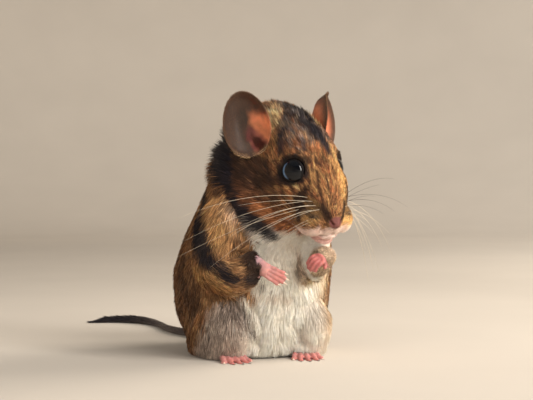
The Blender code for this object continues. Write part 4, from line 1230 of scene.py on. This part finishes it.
# %% [markdown]
# ## Ears
#
# Each ear is a thin spoon-shaped cup. One sheet gives both faces: rings run from the middle
# out over the front, round the rim and back over the rear, so the wall is closed. The rim
# rolls forward, and a few soft ribs cross the cup. Where light shines through, the skin is
# orange; the outer half is grey-brown with fine short hair.

# %% Make the ear cups
EAR_RINGS, EAR_POINTS_ROUND = 34, 96
EAR_BROWN, EAR_EDGE, EAR_ORANGE = colour(68, 54, 47), colour(82, 58, 46), colour(248, 152, 106)


def ear_point(side, share, turn, behind):
    """The sheet: an oval in the ear's frame, as deep as the cup, with its wall behind it."""
    middle, up, inward, facing = ear_frame(side)
    rise, run = np.cos(turn), np.sin(turn)
    long_reach = EAR_LONG * np.where(rise > 0, 1.0, 0.92) * share * rise
    short_reach = EAR_SHORT * (1.0 - 0.08 * rise) * share * run
    depth = ear_depth(side, share, turn) + behind
    return (middle + long_reach[..., None] * up + short_reach[..., None] * inward
            - facing * depth[..., None])


def ear_shade(points, side, front):
    """Painted light and shade: orange where light comes through beside the head and over the left ear's rear,
    with painted shade in rings over its folds; a red canal, dark with painted shade of its depth; and a brown
    outer half.
    """
    share, turn, _ = in_ear(points, side)
    rise, run = share * np.cos(turn), share * np.sin(turn)
    rough = waves(points, 2.2, 31)
    glow = ease(run + 0.05 * rough, 0.10, 0.50) * ease(rise + 0.25 * run + 0.08 * rough, 0.70, 0.20)
    if side > 0:
        glow = 0.9 * ease(share, 1.0, 0.75) * ease(rise, 0.9, 0.4)
    # Painted shade: darker rings over the orange where the folds lie
    folds = 0.5 + 0.5 * np.cos(11.0 * np.hypot(rise + 0.55, run - 0.35) + 0.8)
    shade = mix(EAR_BROWN, EAR_EDGE, ease(rise, 0.3, 0.75) * ease(run, -0.5, 0.2))
    shade = mix(shade, mix(EAR_ORANGE, EAR_ORANGE * 0.68, folds), glow)
    # Painted shade: the canal darkens to dark pink and then dark red, partly its red skin and partly the
    # shade of its depth
    canal = np.hypot((rise + 0.66) / 0.40, (run - 0.46 + 0.5 * (rise + 0.66)) / 0.24)
    shade = mix(shade, DEEP_PINK * 0.42, 0.85 * ease(canal + 0.15 * rough, 1.9, 1.1))
    shade = mix(shade, CANAL_RED * 0.35, ease(canal + 0.1 * rough, 1.1, 0.6))
    shade = mix(shade, EAR_EDGE, 0.7 * ease(share, 0.88, 1.0) * (1.0 - 0.6 * glow))
    # Painted light: the left ear's rear glows orange, as light comes through it
    rear = mix(mix(EAR_BROWN, EAR_EDGE, 0.5), EAR_ORANGE * 0.8, 0.85 * glow * (side > 0))
    shade = mix(rear, shade, front)
    return np.clip(shade * (1.0 + 0.06 * rough)[:, None], 0.0, 0.9)


def make_ear(side, word):
    """Rings out over the front, round the rim and back over the rear."""
    turn = np.linspace(0.0, 2.0 * math.pi, EAR_POINTS_ROUND, endpoint=False)[None]
    share = np.linspace(0.03, 1.0, EAR_RINGS)[:, None]
    wall = EAR_WALL * (1.0 - 0.45 * share)
    front = ear_point(side, share + 0.0 * turn, turn + 0.0 * share, 0.0 * wall)
    rear = ear_point(side, share + 0.0 * turn, turn + 0.0 * share, wall)
    rim = ear_point(side, 1.02 + 0.0 * turn, turn, wall[-1:] * 0.5)
    ear = piece_from(f"ear_cup_{word}", [closed_grid(np.concatenate((front, rim, rear[::-1])))])
    is_front = (np.arange(len(ear.data.vertices)) < EAR_RINGS * EAR_POINTS_ROUND).astype(float)
    paint(ear, "markings", ear_shade(read(ear) / MM, side, is_front))
    unwrap(ear)
    return ear


ears = [make_ear(side, word) for side, word in SIDES]
print("ear cups:", [len(ear.data.vertices) for ear in ears], "points")


# %% Fine hair on the ears
def ear_hairs(side, ear, word):
    """Short down that points up to the rim, longer and paler at the ear's root."""
    middle, up, _, facing = ear_frame(side)

    def density(points):
        share, turn, _ = in_ear(points, side)
        low = ease(share * np.cos(turn), -0.6, -0.95)
        return (9.0 + 22.0 * ease(share, 0.85, 0.98)) * (1.0 - 0.5 * low)

    roots = scatter(surface_of(ear), density)
    place, normal = roots["place"], roots["normal"]
    share, turn, _ = in_ear(place, side)
    outward = unit(place - (middle - up * 0.9 * EAR_LONG))
    way = unit(outward - normal * (outward * normal).sum(1)[:, None])
    way = unit(way + 0.2 * rng.normal(size=way.shape))
    low = ease(share * np.cos(turn), -0.6, -0.95) * ease(share, 0.9, 1.0)
    length = (0.5 + 0.7 * low) * rng.uniform(0.7, 1.3, len(place))
    front = ((normal @ facing) > 0.0).astype(float)

    def shades(points, group):
        shade = ear_shade(place, side, front) * 1.15
        shade = mix(mix(shade, GOLD, 0.18), mix(BLONDE, GREY, 0.3), low * 0.7)
        shade = shade * np.exp(0.18 * rng.normal(size=len(points)))[:, None]
        return np.clip(np.stack((shade * 0.8, shade, shade, shade * 1.2), 1), 0.0, 0.9)

    lift = np.radians(11.0 + 8.0 * low) * rng.uniform(0.6, 1.5, len(place))
    return tufts(f"ear_hair_{word}", roots, way, length, 0.045 + 0.02 * length, lift, shades)


ear_fur = [ear_hairs(side, ear, word) for (side, word), ear in zip(SIDES, ears)]
print("ear hairs:", [len(hairs.data.polygons) // 4 for hairs in ear_fur])

# %% [markdown]
# ## Hands and feet
#
# Fingers and toes are tubes whose radius swells at each knuckle and at the pad under the
# tip. A finger bends a little more at each step along it. Palm and fingers are remeshed into
# one skin, and the claws stay pieces of their own: short curved cones, pale as horn.

# %% Sizes of hands and feet
# Hands: wrist, the way of the fingers, the back of the hand, the fingers' bend in degrees,
# and the thumb's side
HANDS = {
    "right": ((-10.6, -27.8, 29.2), (0.56, -0.71, -0.43), (-0.70, -0.66, 0.22), 36.0, -1.0),
    "left": ((9.4, -31.6, 29.6), (-0.66, -0.70, 0.26), (0.30, -0.50, 0.80), 150.0, 1.0),
}
# How far the colour of hands and feet goes to red, from 0 to 1
HAND_RED, FOOT_RED = {"right": 0.0, "left": 0.7}, 0.3
PALM_LENGTH, PALM_WIDTH, PALM_THICKNESS, FINGER_RADIUS = 5.0, 4.0, 2.7, 0.64
# Fingers and toes: how far across they start, their length, and their splay in degrees
FINGERS = {
    "right": ((-1.45, 4.9, -4.0), (-0.50, 5.9, -1.5), (0.48, 5.8, 1.5), (1.42, 4.7, 5.0)),
    "left": ((-1.55, 4.2, -6.0), (-0.52, 5.1, -2.0), (0.52, 5.0, 2.0), (1.55, 4.0, 7.0)),
}
# Feet: heel, ball and the tips of the toes, on the floor
FEET = {
    "right": ((-15.0, -1.0, 0.0), (-13.6, -18.2, 0.0), (-12.9, -25.2, 0.0)),
    "left": ((13.0, -2.0, 0.0), (8.6, -20.4, 0.0), (7.2, -27.4, 0.0)),
}
FOOT_WIDTH, FOOT_HEIGHT, TOE_RADIUS = 3.8, 2.9, 0.92
HAND_CLAW, FOOT_CLAW = 1.15, 1.5
HAND_VOXEL, FOOT_VOXEL = 0.2, 0.25
TOES = ((-3.3, 4.6, -20.0), (-1.75, 6.7, -9.0), (0.0, 7.3, 0.0), (1.75, 6.7, 9.0), (3.3, 4.4, 20.0))


# %% Fingers, toes and claws
def digit(start, way, back, length, radius, curl, count=15):
    """A tube that bends by curl times the share of its length, with knuckles and a pad."""
    across = unit(np.cross(way, back))
    share = np.linspace(0.0, 1.0, count)
    ways = np.array([turned(way, across, -curl * s) for s in share])
    reach = length + radius * 1.2
    steps = np.vstack((np.zeros(3), (ways[:-1] + ways[1:]) / 2 * reach / (count - 1)))
    path = start - way * radius * 1.2 + np.cumsum(steps, axis=0)
    radii = radius * (1.0 - 0.22 * share + 0.10 * np.cos(share * 4.0 * math.pi)
                      + 0.16 * np.exp(-(((share - 0.86) / 0.1) ** 2)))
    end_way = ways[-1]
    cap = np.array([path[-1] + end_way * radius * reach_out for reach_out in (0.25, 0.42, 0.5)])
    path = np.vstack((path, cap))
    radii = np.concatenate((radii, radii[-1] * np.array((0.86, 0.6, 0.25))))
    end_back = turned(back, across, -curl)
    return tube(path, radii, 14, up=across), (path[-2], end_way, end_back, radius)


def claw(tip, way, back, radius, length):
    """A cone that starts inside the toe's tip, thins to a point and bends down."""
    share = np.linspace(0.0, 1.0, 9)[:, None]
    path = (tip - way * 0.35 + back * 0.26 * radius + way * share * (length + 0.35)
            - back * share**2 * length * 0.55)
    radii = radius * (0.46 * (1.0 - share[:, 0]) ** 0.8 + 0.035)
    return tube(path, radii, 10, 1.25, up=back)


def paw_piece(name, bodies, voxel, colours):
    """Palm or sole and its digits as one relaxed skin."""
    paw = remeshed(piece_from(name, bodies), voxel)
    places = read(paw) / MM
    edges = read(paw, "edges", "vertices", 2, np.int32)
    places = relaxed(places, edges, np.ones(len(places)), 5)
    places[:, 2] = np.maximum(places[:, 2], 0.05)
    place_points(paw, places)
    paint(paw, "markings", colours(places))
    return paw


def hand_shades(wrist, way, red=0.0):
    """Paler at the wrist and redder towards the finger tips; red deepens it all."""
    def shades(places):
        along = (places - wrist) @ way
        rough = waves(places, 1.6, 51)
        shade = mix(colour(196, 156, 160), colour(200, 144, 138), ease(along, 0.0, 4.0))
        shade = mix(shade, colour(192, 112, 102), 0.6 * ease(along, 4.0, 9.0))
        shade = lean(shade, colour(170, 84, 78), red)
        return np.clip(shade * (1.0 + 0.08 * rough)[:, None], 0.0, 0.9)
    return shades


def make_hand(word):
    """A palm with its pads, four fingers and a short thumb; the claws are a piece apart."""
    wrist, way, back, curl, side = HANDS[word]
    wrist, way = np.array(wrist), unit(way)
    back = unit(np.array(back) - way * (np.array(back) @ way))
    across = unit(np.cross(way, back))
    start = wrist - way * 1.2
    share = np.linspace(0.0, 1.0, 12)
    wide = np.interp(share, (0.0, 0.3, 0.55, 0.85, 1.0), (1.15, 1.16, 1.08, 1.0, 0.74))
    palm = tube(start + way * (PALM_LENGTH + 1.2) * share[:, None], PALM_WIDTH / 2 * wide, 24,
                PALM_THICKNESS / PALM_WIDTH, back)
    bodies, claws = [palm], []
    for aside, length, splay in FINGERS[word]:
        root = wrist + way * PALM_LENGTH * 0.86 + across * aside
        body, end = digit(root, turned(way, back, -splay), back, length, FINGER_RADIUS, curl)
        bodies.append(body)
        claws.append(claw(*end, HAND_CLAW))
    thumb_way = turned(way, back, 52.0 * side)
    thumb = wrist + way * PALM_LENGTH * 0.35 - across * PALM_WIDTH * 0.34 * side
    bodies.append(digit(thumb, thumb_way, back, 2.0, FINGER_RADIUS * 0.85, curl * 0.4)[0])
    palm_pads = ((0.72, -1.1), (0.80, 0.0), (0.72, 1.1), (0.30, -0.9), (0.30, 0.9))
    for along, aside in palm_pads:
        place = wrist + way * PALM_LENGTH * along + across * aside - back * PALM_THICKNESS * 0.36
        bodies.append(ellipsoid(place, (0.75, 0.65, 0.5), (way, across, back), 16, 10))
    hand = paw_piece(f"hand_skin_{word}", bodies, HAND_VOXEL, hand_shades(wrist, way, HAND_RED[word]))
    return hand, piece_from(f"hand_claws_{word}", claws)


def make_foot(word):
    """A long sole from heel to ball with five toes; the claws are a piece apart."""
    heel, ball, tips = (np.array(place) for place in FEET[word])
    up = np.array((0.0, 0.0, 1.0))
    way = unit(tips - ball)
    across = np.cross(way, up)
    share = np.linspace(0.0, 1.0, 22)[:, None]
    wide = np.interp(share, (0.0, 0.12, 0.45, 0.8, 1.0), (0.45, 0.72, 0.8, 1.0, 0.8))
    high = np.interp(share, (0.0, 0.12, 0.45, 0.8, 1.0), (0.7, 1.0, 1.0, 0.85, 0.6))
    turn = np.linspace(0.0, 2.0 * math.pi, 28, endpoint=False)[None]
    middle = heel + (ball - heel) * share
    lift = FOOT_HEIGHT / 2 * high * (1.0 + np.sin(turn))
    aside = FOOT_WIDTH * wide * np.cos(turn)
    sole = middle[:, None] + aside[..., None] * across + lift[..., None] * up
    bodies, claws = [closed_grid(sole)], []
    for aside, length, splay in TOES:
        root = ball - way * 1.4 + across * aside * 0.86 + up * TOE_RADIUS * 1.35
        body, end = digit(root, turned(way, up, -splay), up, length, TOE_RADIUS, 30.0)
        bodies.append(body)
        claws.append(claw(*end, FOOT_CLAW))
    shades = hand_shades(ball - way * 4.0, way, FOOT_RED)
    foot = paw_piece(f"foot_skin_{word}", bodies, FOOT_VOXEL, shades)
    nails = piece_from(f"foot_claws_{word}", claws)
    nail_points = read(nails) / MM
    nail_points[:, 2] = np.maximum(nail_points[:, 2], 0.08)
    place_points(nails, nail_points)
    return foot, nails


hands = {word: make_hand(word) for word in HANDS}
feet = {word: make_foot(word) for word in FEET}
print("hands:", [len(pair[0].data.vertices) for pair in hands.values()], "points each")

# %% [markdown]
# ## The tail
#
# A gerbil's tail is furred to its end, where the hairs lengthen into a tuft. Its route and
# thickness are those of the solids. The hairs grow from a closed tube and point to its tip.

# %% Make the tail and its fur
TAIL_ROUTE = ((1.0, 19.0, 6.0), (-0.5, 26.0, 3.6), (-4.5, 34.0, 1.6), (-9.0, 45.0, 1.1),
              (-10.6, 57.0, 1.0), (-10.0, 69.0, 1.0), (-12.0, 80.0, 1.0), (-19.0, 88.5, 1.0),
              (-28.5, 92.0, 1.0))
TAIL_SHARES = (0.0, 0.12, 0.3, 0.6, 0.82, 0.94, 1.0)
TAIL_RADII = (3.0, 2.1, 1.45, 1.25, 1.6, 1.3, 0.5)
TAIL_COAT = 0.45


def tail_path():
    """The tail's middle line, its coat's radius and the share of its length at each point."""
    route = between(TAIL_ROUTE, 121)
    steps = np.linalg.norm(np.diff(route, axis=0), axis=1)
    share = np.concatenate(((0.0,), np.cumsum(steps))) / steps.sum()
    radii = np.interp(share, TAIL_SHARES, TAIL_RADII)
    resting = share > 0.2
    route[resting, 2] = radii[resting] - 0.25
    rising = (share > 0.08) & ~resting
    route[rising, 2] = np.maximum(route[rising, 2], radii[rising] - 0.25)
    return route, radii, share


def make_tail():
    """The tail's skin: its route's tube without the coat, and thinner still under the tuft."""
    route, radii, share = tail_path()
    core = np.maximum(radii - TAIL_COAT, 0.3) * (1.0 - 0.45 * ease(share, 0.7, 0.95))
    tail = piece_from("tail_skin", [tube(route, core, 20)])
    unwrap(tail)
    shade = mix(mix(SLATE, GREY, 0.25), SLATE, ease(read(tail)[:, 1] / MM, 40.0, 80.0))
    paint(tail, "markings", shade * 0.8)
    return tail


def tail_hairs(tail):
    """Hairs that point to the tail's tip; they lengthen and darken along its last third."""
    route, _, share = tail_path()
    roots = scatter(surface_of(tail), lambda points: 24.0 + 0.0 * points[:, 0])
    place, normal = roots["place"], roots["normal"]
    at = path_distance(place, route)[1] * (len(route) - 1)
    ways = unit(np.gradient(route, axis=0))
    flow = np.stack([np.interp(at, np.arange(len(route)), ways[:, k]) for k in range(3)], 1)
    flow = flow + 0.10 * rng.normal(size=flow.shape)
    way = unit(flow - normal * (flow * normal).sum(1)[:, None])
    along = np.interp(at, np.arange(len(route)), share)
    length = (1.7 + 1.9 * ease(along, 0.66, 0.9)) * rng.uniform(0.75, 1.25, len(place))
    lift = np.radians(9.0 + 6.0 * ease(along, 0.66, 0.9)) * rng.uniform(0.5, 1.5, len(place))

    def shades(points, group):
        shade = mix(mix(SLATE, GREY, 0.30), UMBER, 0.25)
        under = ease(normal[:, 2], 0.2, -0.6)
        shade = mix(mix(shade, GREY, 0.5 * under), SLATE, 0.8 * ease(along, 0.6, 0.85))
        shade = shade * np.exp(0.25 * rng.normal(size=len(points)))[:, None]
        return np.clip(np.stack((shade * 0.5, shade, shade, shade * 1.3), 1), 0.0, 0.9)

    return tufts("tail_fur", roots, way, length, 0.09 + 0.03 * length, lift, shades)


tail = make_tail()
tail_fur = tail_hairs(tail)
print("tail hairs:", len(tail_fur.data.polygons) // 4)

# %% [markdown]
# ## Whiskers
#
# Whiskers stand in rows on the muzzle's pads, short in front and longer behind. Each is a
# tube along a parabola: straight out from its root, then bent back and down by the square of
# the share of its length. They are as thin as the picture can show. On the left the upper
# rows are dark and the lower ones pale and longer.

# %% Grow the whiskers
# The front whiskers' length and how much each place further back adds to it
WHISKER_SHORTEST, WHISKER_STEP = 11.0, 7.5
# What the lengths of the left side's rows are multiplied by, from the top row down
FAR_WHISKER_SHARES = (0.62, 1.0, 1.3, 1.6)
WHISKER_ROOT_RADIUS, WHISKER_THINNING = 0.058, 0.040
skin_tree = surface_tree(skin)


def make_whiskers(side, word, dark):
    """Each root sends one hair out: upper rows rise, lower rows fall, and all bend down."""
    draw = np.random.default_rng(61)
    places = whisker_places() * (1.0, -1.0, 1.0)
    roots = laid_on(skin_tree, head_point(places, side))
    bodies = []
    for number, root in enumerate(roots):
        row, column = divmod(number, WHISKERS_A_ROW)
        length = (WHISKER_SHORTEST + WHISKER_STEP * column) * draw.uniform(0.8, 1.12)
        swing = draw.normal(size=3) * 0.07
        bend_share, thick, is_dark = draw.uniform(0.6, 1.4), draw.uniform(0.85, 1.15), draw.uniform() < 0.3
        if side > 0:
            is_dark, way = row < 2 and column > 0, (0.04 + 0.06 * column, 1.0, 0.34 - 0.40 * row)
            length = FAR_WHISKER_SHARES[row] * length
        else:
            way = (0.10 + 0.07 * column, 1.0, -0.06 - 0.20 * row)
        if is_dark != dark:
            continue
        way = head_way(unit(np.array(way) + swing), side)
        bend = (HEAD[0] * 0.10 - np.array((0.0, 0.0, 0.30))) * length * bend_share
        share = np.linspace(0.0, 1.0, 14)[:, None]
        path = root - way * 0.4 + way * length * share + bend * share**2
        radii = (WHISKER_ROOT_RADIUS - WHISKER_THINNING * share[:, 0]) * thick
        bodies.append(tube(path, radii, 5, up=HEAD[0]))
    return piece_from(f"whiskers_{'dark' if dark else 'pale'}_{word}", bodies)


whiskers = {(word, dark): make_whiskers(side, word, dark)
            for side, word in SIDES for dark in (False, True)}
print("whisker pieces:", [piece.name for piece in whiskers.values()])

# %% [markdown]
# ## Finishes
#
# Painted colours sit in the attribute named markings, which most materials read. Claws, lids
# and whiskers have one colour each. Each material adds what the surface itself has: fur is
# matt with a faint sheen, bare skin is creased and a little moist, ears and paws let a
# little light in, horn is smooth, and the eye is wet.

# %% Make the materials
def new_material(name, roughness, **settings):
    """A Principled material whose constant values sit on the shader's own sockets."""
    material = bpy.data.materials.new(name)
    material.use_nodes = True
    shader = material.node_tree.nodes["Principled BSDF"]
    shader.inputs["Roughness"].default_value = roughness
    for socket, value in settings.items():
        shader.inputs[socket.replace("_", " ")].default_value = value
    return material, material.node_tree.nodes, material.node_tree.links, shader


def markings_node(nodes):
    """A node that reads the painted colours."""
    node = nodes.new("ShaderNodeAttribute")
    node.attribute_name = "markings"
    return node


def mottled(nodes, links, colour_socket, shader, scale, low, high):
    """The painted colour times a noise between low and high, on Object coordinates."""
    place = nodes.new("ShaderNodeTexCoord")
    noise = nodes.new("ShaderNodeTexNoise")
    noise.inputs["Scale"].default_value = scale
    noise.inputs["Detail"].default_value = 3.0
    span = nodes.new("ShaderNodeMapRange")
    span.inputs["From Min"].default_value, span.inputs["From Max"].default_value = 0.25, 0.75
    span.inputs["To Min"].default_value, span.inputs["To Max"].default_value = low, high
    times = nodes.new("ShaderNodeVectorMath")
    times.operation = "SCALE"
    links.new(place.outputs["Object"], noise.inputs["Vector"])
    links.new(noise.outputs["Fac"], span.inputs["Value"])
    links.new(colour_socket, times.inputs[0])
    links.new(span.outputs["Result"], times.inputs["Scale"])
    links.new(times.outputs["Vector"], shader.inputs["Base Color"])
    return noise, place


def bumped(nodes, links, shader, height_socket, distance, strength=1.0):
    """Fine relief from a height, as deep as distance in metres times strength."""
    bump = nodes.new("ShaderNodeBump")
    bump.inputs["Distance"].default_value = distance
    bump.inputs["Strength"].default_value = strength
    links.new(height_socket, bump.inputs["Height"])
    links.new(bump.outputs["Normal"], shader.inputs["Normal"])


def fur_material(name):
    """The tufts: matt, with a faint warm sheen over the painted colour."""
    material, nodes, links, shader = new_material(
        name, 0.58, Specular_IOR_Level=0.22, Sheen_Weight=0.10, Sheen_Roughness=0.4)
    shader.inputs["Sheen Tint"].default_value = (1.0, 0.86, 0.7, 1.0)
    mottled(nodes, links, markings_node(nodes).outputs["Color"], shader, 900.0, 0.88, 1.12)
    return material


def hide_material(name):
    """The skin under the coat: its painted colour and a fine grain."""
    material, nodes, links, shader = new_material(name, 0.6, Specular_IOR_Level=0.35)
    noise, _ = mottled(nodes, links, markings_node(nodes).outputs["Color"], shader, 1400.0, 0.85, 1.1)
    bumped(nodes, links, shader, noise.outputs["Fac"], 0.00012)
    return material


def bare_material(name, roughness, scale, depth, **settings):
    """Bare skin: a net of creases between tiny cushions, over the painted colour."""
    material, nodes, links, shader = new_material(name, roughness, **settings)
    _, place = mottled(nodes, links, markings_node(nodes).outputs["Color"], shader, 700.0, 0.88, 1.1)
    creases = nodes.new("ShaderNodeTexVoronoi")
    creases.feature = "DISTANCE_TO_EDGE"
    creases.inputs["Scale"].default_value = scale
    links.new(place.outputs["Object"], creases.inputs["Vector"])
    bumped(nodes, links, shader, creases.outputs["Distance"], depth, 0.6)
    return material


def plain_material(name, shade, roughness, scale, low, high, **settings):
    """One colour, mottled by a noise, for horn, lids and whiskers."""
    material, nodes, links, shader = new_material(name, roughness, **settings)
    ground = nodes.new("ShaderNodeRGB")
    ground.outputs[0].default_value = (*shade, 1.0)
    mottled(nodes, links, ground.outputs[0], shader, scale, low, high)
    return material


def eye_material():
    """A smooth wet eye under a thin clear coat."""
    material, nodes, links, shader = new_material(
        "wet_eye", 0.05, Specular_IOR_Level=0.12, Coat_Weight=0.5, Coat_Roughness=0.02)
    mottled(nodes, links, markings_node(nodes).outputs["Color"], shader, 1600.0, 0.75, 1.25)
    return material


fur, hide = fur_material("coat_fur"), hide_material("hide")
ear_skin = bare_material("ear_skin", 0.5, 1600.0, 0.00006, Subsurface_Weight=0.06, Subsurface_Scale=0.0010)
paw_skin = bare_material("paw_skin", 0.42, 2300.0, 0.00010, Subsurface_Weight=0.2, Subsurface_Scale=0.0008)
horn = plain_material("claw_horn", colour(232, 205, 186), 0.28, 1500.0, 0.82, 1.05)
lid_skin = plain_material("lid_edge_skin", LID_BLACK * 0.6, 0.6, 2500.0, 0.6, 1.3, Specular_IOR_Level=0.25)
pale_whisker = plain_material("pale_whisker", colour(222, 206, 182), 0.35, 300.0, 0.85, 1.05)
dark_whisker = plain_material("dark_whisker", colour(70, 58, 54), 0.35, 300.0, 0.8, 1.2)
wet_eye = eye_material()

# %% Give each piece its finish, its body and the solids it stands for
FLESH_NODES = ("torso", "head", "arm_left", "arm_right", "haunch_left", "haunch_right")


def dress(piece, material, slot, *nodes):
    """Gives a piece its material, the body it rides on and the solids it replaces; slot is not used."""
    piece.data.materials.clear()
    piece.data.materials.append(material)
    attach(piece, "root")
    if nodes:
        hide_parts(*nodes)


dress(skin, hide, "coat", *FLESH_NODES)
for piece in coat:
    dress(piece, fur, "coat")
for word, eye, lid, ear, hairs in zip(("left", "right"), eyes, lid_edges, ears, ear_fur):
    dress(eye, wet_eye, "eye_black", f"eye_{word}")
    dress(lid, lid_skin, "dark_coat")
    dress(ear, ear_skin, "ear_skin", f"ear_{word}")
    dress(hairs, fur, "coat")
    dress(hands[word][0], paw_skin, "pink_skin", f"hand_{word}")
    dress(hands[word][1], horn, "pink_skin")
    dress(feet[word][0], paw_skin, "pink_skin", f"foot_{word}")
    dress(feet[word][1], horn, "pink_skin")
    dress(whiskers[word, False], pale_whisker, "coat", f"whiskers_{word}")
    dress(whiskers[word, True], dark_whisker, "coat")
dress(tail, hide, "dark_coat", "tail_1", "tail_2", "tail_3", "tail_4")
dress(tail_fur, fur, "dark_coat")

# %% [markdown]
# ## A pale floor, soft light and the camera
#
# The animal sits on a wide pale floor that bends up into a round wall, as a photographer's
# cove does, so that no edge shows. The paper carries painted shade: it is a little darker in
# a ring round the animal and high on the wall, and much darker towards the large lamp, which
# would else bleach it.
#
# That large soft lamp stands to the right and above, a weaker one to the left, and one
# behind lights the coat's edge. A tall narrow one on the right, like a window, gives the
# eyes their bright line, and one lights the wall. Right and left are those of the picture.
#
# The camera stands 350 mm away and 50 mm up, turned 22 degrees to the animal's right, and
# looks down by half a degree. Its focal length is given in pixels, for a picture of 533.

# %% Floor and cove
FLOOR_REACH, WALL_BEND, WALL_TOP = 900.0, 500.0, 1500.0
COVE_SIDES, FLOOR_RINGS, BEND_RINGS = 96, 23, 14


def make_cove():
    """A disc whose edge bends up: height = bend (1 - cos) and reach = floor + bend sin."""
    bend = np.linspace(0.1, 1.5, BEND_RINGS)
    reach = np.concatenate((np.linspace(20.0, FLOOR_REACH, FLOOR_RINGS),
                            FLOOR_REACH + WALL_BEND * np.sin(bend), (FLOOR_REACH + WALL_BEND,)))
    height = np.concatenate((np.zeros(FLOOR_RINGS), WALL_BEND * (1.0 - np.cos(bend)), (WALL_TOP,)))
    turn = np.linspace(0.0, 2.0 * math.pi, COVE_SIDES, endpoint=False)
    rings = np.stack((reach[:, None] * np.cos(turn), reach[:, None] * np.sin(turn),
                      height[:, None] + 0.0 * turn), -1)
    body_points, quads, fans = closed_grid(rings)
    floor_fan = fans[:COVE_SIDES]
    return piece_from("studio_floor", [(body_points[:-1], quads, floor_fan)], outward=False)


def cove_material(name):
    """Matt paper with a faint mottle over its painted colour."""
    material, nodes, links, shader = new_material(name, 0.75, Specular_IOR_Level=0.2)
    mottled(nodes, links, markings_node(nodes).outputs["Color"], shader, 14.0, 0.97, 1.02)
    return material


floor = make_cove()
floor_points = read(floor) / MM
floor_reach = np.hypot(floor_points[:, 0], floor_points[:, 1])
# The shares of painted shade: in the ring, on the high wall, and on the floor towards the large lamp
shaded_ring = ease(floor_reach, 60.0, 320.0) * ease(floor_reach, 900.0, 600.0)
high_wall_shade = ease(floor_points[:, 2], 200.0, 900.0)
lamp_side = ease(floor_points[:, :2] @ (0.39, -0.92) / floor_reach.clip(1.0), 0.1, 0.7)
lamp_side = lamp_side * ease(floor_reach, 160.0, 600.0)
cove_shade = 1.0 - 0.17 * shaded_ring - 0.25 * high_wall_shade
paint(floor, "markings", colour(203, 194, 182) * (cove_shade * (1.0 - 0.5 * lamp_side))[:, None])
floor.data.materials.append(cove_material("pale_floor"))
floor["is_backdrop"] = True


# %% The camera
CAMERA_TURN, CAMERA_DIP = math.radians(-22.0), math.radians(0.46)
CAMERA_AWAY, CAMERA_ASIDE, CAMERA_HEIGHT = 0.350, 0.0039, 0.050
FOCAL_PIXELS, PICTURE_WIDTH = 1120.0, 533.0
aside = Vector((math.cos(CAMERA_TURN), math.sin(CAMERA_TURN), 0.0))
forward = Vector((-math.sin(CAMERA_TURN), math.cos(CAMERA_TURN), 0.0))
upright = Vector((0.0, 0.0, 1.0))
look = forward * math.cos(CAMERA_DIP) - upright * math.sin(CAMERA_DIP)
camera_data = bpy.data.cameras.new("camera")
camera_data.sensor_width = 36.0
camera_data.lens = FOCAL_PIXELS / PICTURE_WIDTH * camera_data.sensor_width
camera_data.clip_start, camera_data.clip_end = 0.01, 20.0
camera = bpy.data.objects.new("camera", camera_data)
camera.location = aside * CAMERA_ASIDE - forward * CAMERA_AWAY + upright * CAMERA_HEIGHT
camera.rotation_euler = look.to_track_quat("-Z", "Y").to_euler()
bpy.context.scene.collection.objects.link(camera)
bpy.context.scene.camera = camera


# %% The lamps
def soft_lamp(name, place, wide, tall, power, tint, gloss=False, aim=(0.0, -0.01, 0.04)):
    """An area lamp that looks at its aim. Both places are metres aside, forward and up."""
    light = bpy.data.lights.new(name, "AREA")
    light.shape = "RECTANGLE"
    light.size, light.size_y = wide, tall
    light.energy, light.color = power, tint
    lamp = bpy.data.objects.new(name, light)
    lamp.location = aside * place[0] + forward * place[1] + upright * place[2]
    to_aim = aside * aim[0] + forward * aim[1] + upright * aim[2] - lamp.location
    lamp.rotation_euler = to_aim.to_track_quat("-Z", "Y").to_euler()
    lamp.visible_camera = False
    lamp.visible_glossy = gloss
    bpy.context.scene.collection.objects.link(lamp)
    return lamp


soft_lamp("window_lamp", (0.98, -0.59, 0.47), 0.13, 1.00, 7.6, (1.0, 0.96, 0.90), gloss=True)
soft_lamp("key_lamp", (0.80, -0.80, 0.74), 0.80, 0.80, 15.5, (1.0, 0.96, 0.91))
soft_lamp("fill_lamp", (-0.50, -0.95, 0.30), 0.90, 0.90, 4.4, (0.92, 0.96, 1.0))
soft_lamp("rim_lamp", (0.65, 0.22, 0.34), 0.40, 0.40, 7.0, (1.0, 0.92, 0.82))
soft_lamp("wall_lamp", (0.55, 0.35, 0.75), 0.50, 0.50, 4.2, (1.0, 0.98, 0.95), aim=(1.2, 1.2, 0.25))

world = bpy.data.worlds.new("soft_room")
world.use_nodes = True
world.node_tree.nodes["Background"].inputs["Color"].default_value = (0.84, 0.80, 0.75, 1.0)
world.node_tree.nodes["Background"].inputs["Strength"].default_value = 0.30
bpy.context.scene.world = world
bpy.context.scene.view_settings.view_transform = "Standard"

# %% Print the sizes and finish
model_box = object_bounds()
grown = [round(1000 * value, 2) for value in (*(cad_box[0] - model_box[0]), *(model_box[1] - cad_box[1]))]
print("the visual model stands proud of the CAD box by, in mm:", grown)
triangles = sum(len(p.vertices) - 2 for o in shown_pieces() if not o.hide_render for p in o.data.polygons)
print("triangles shown:", triangles)
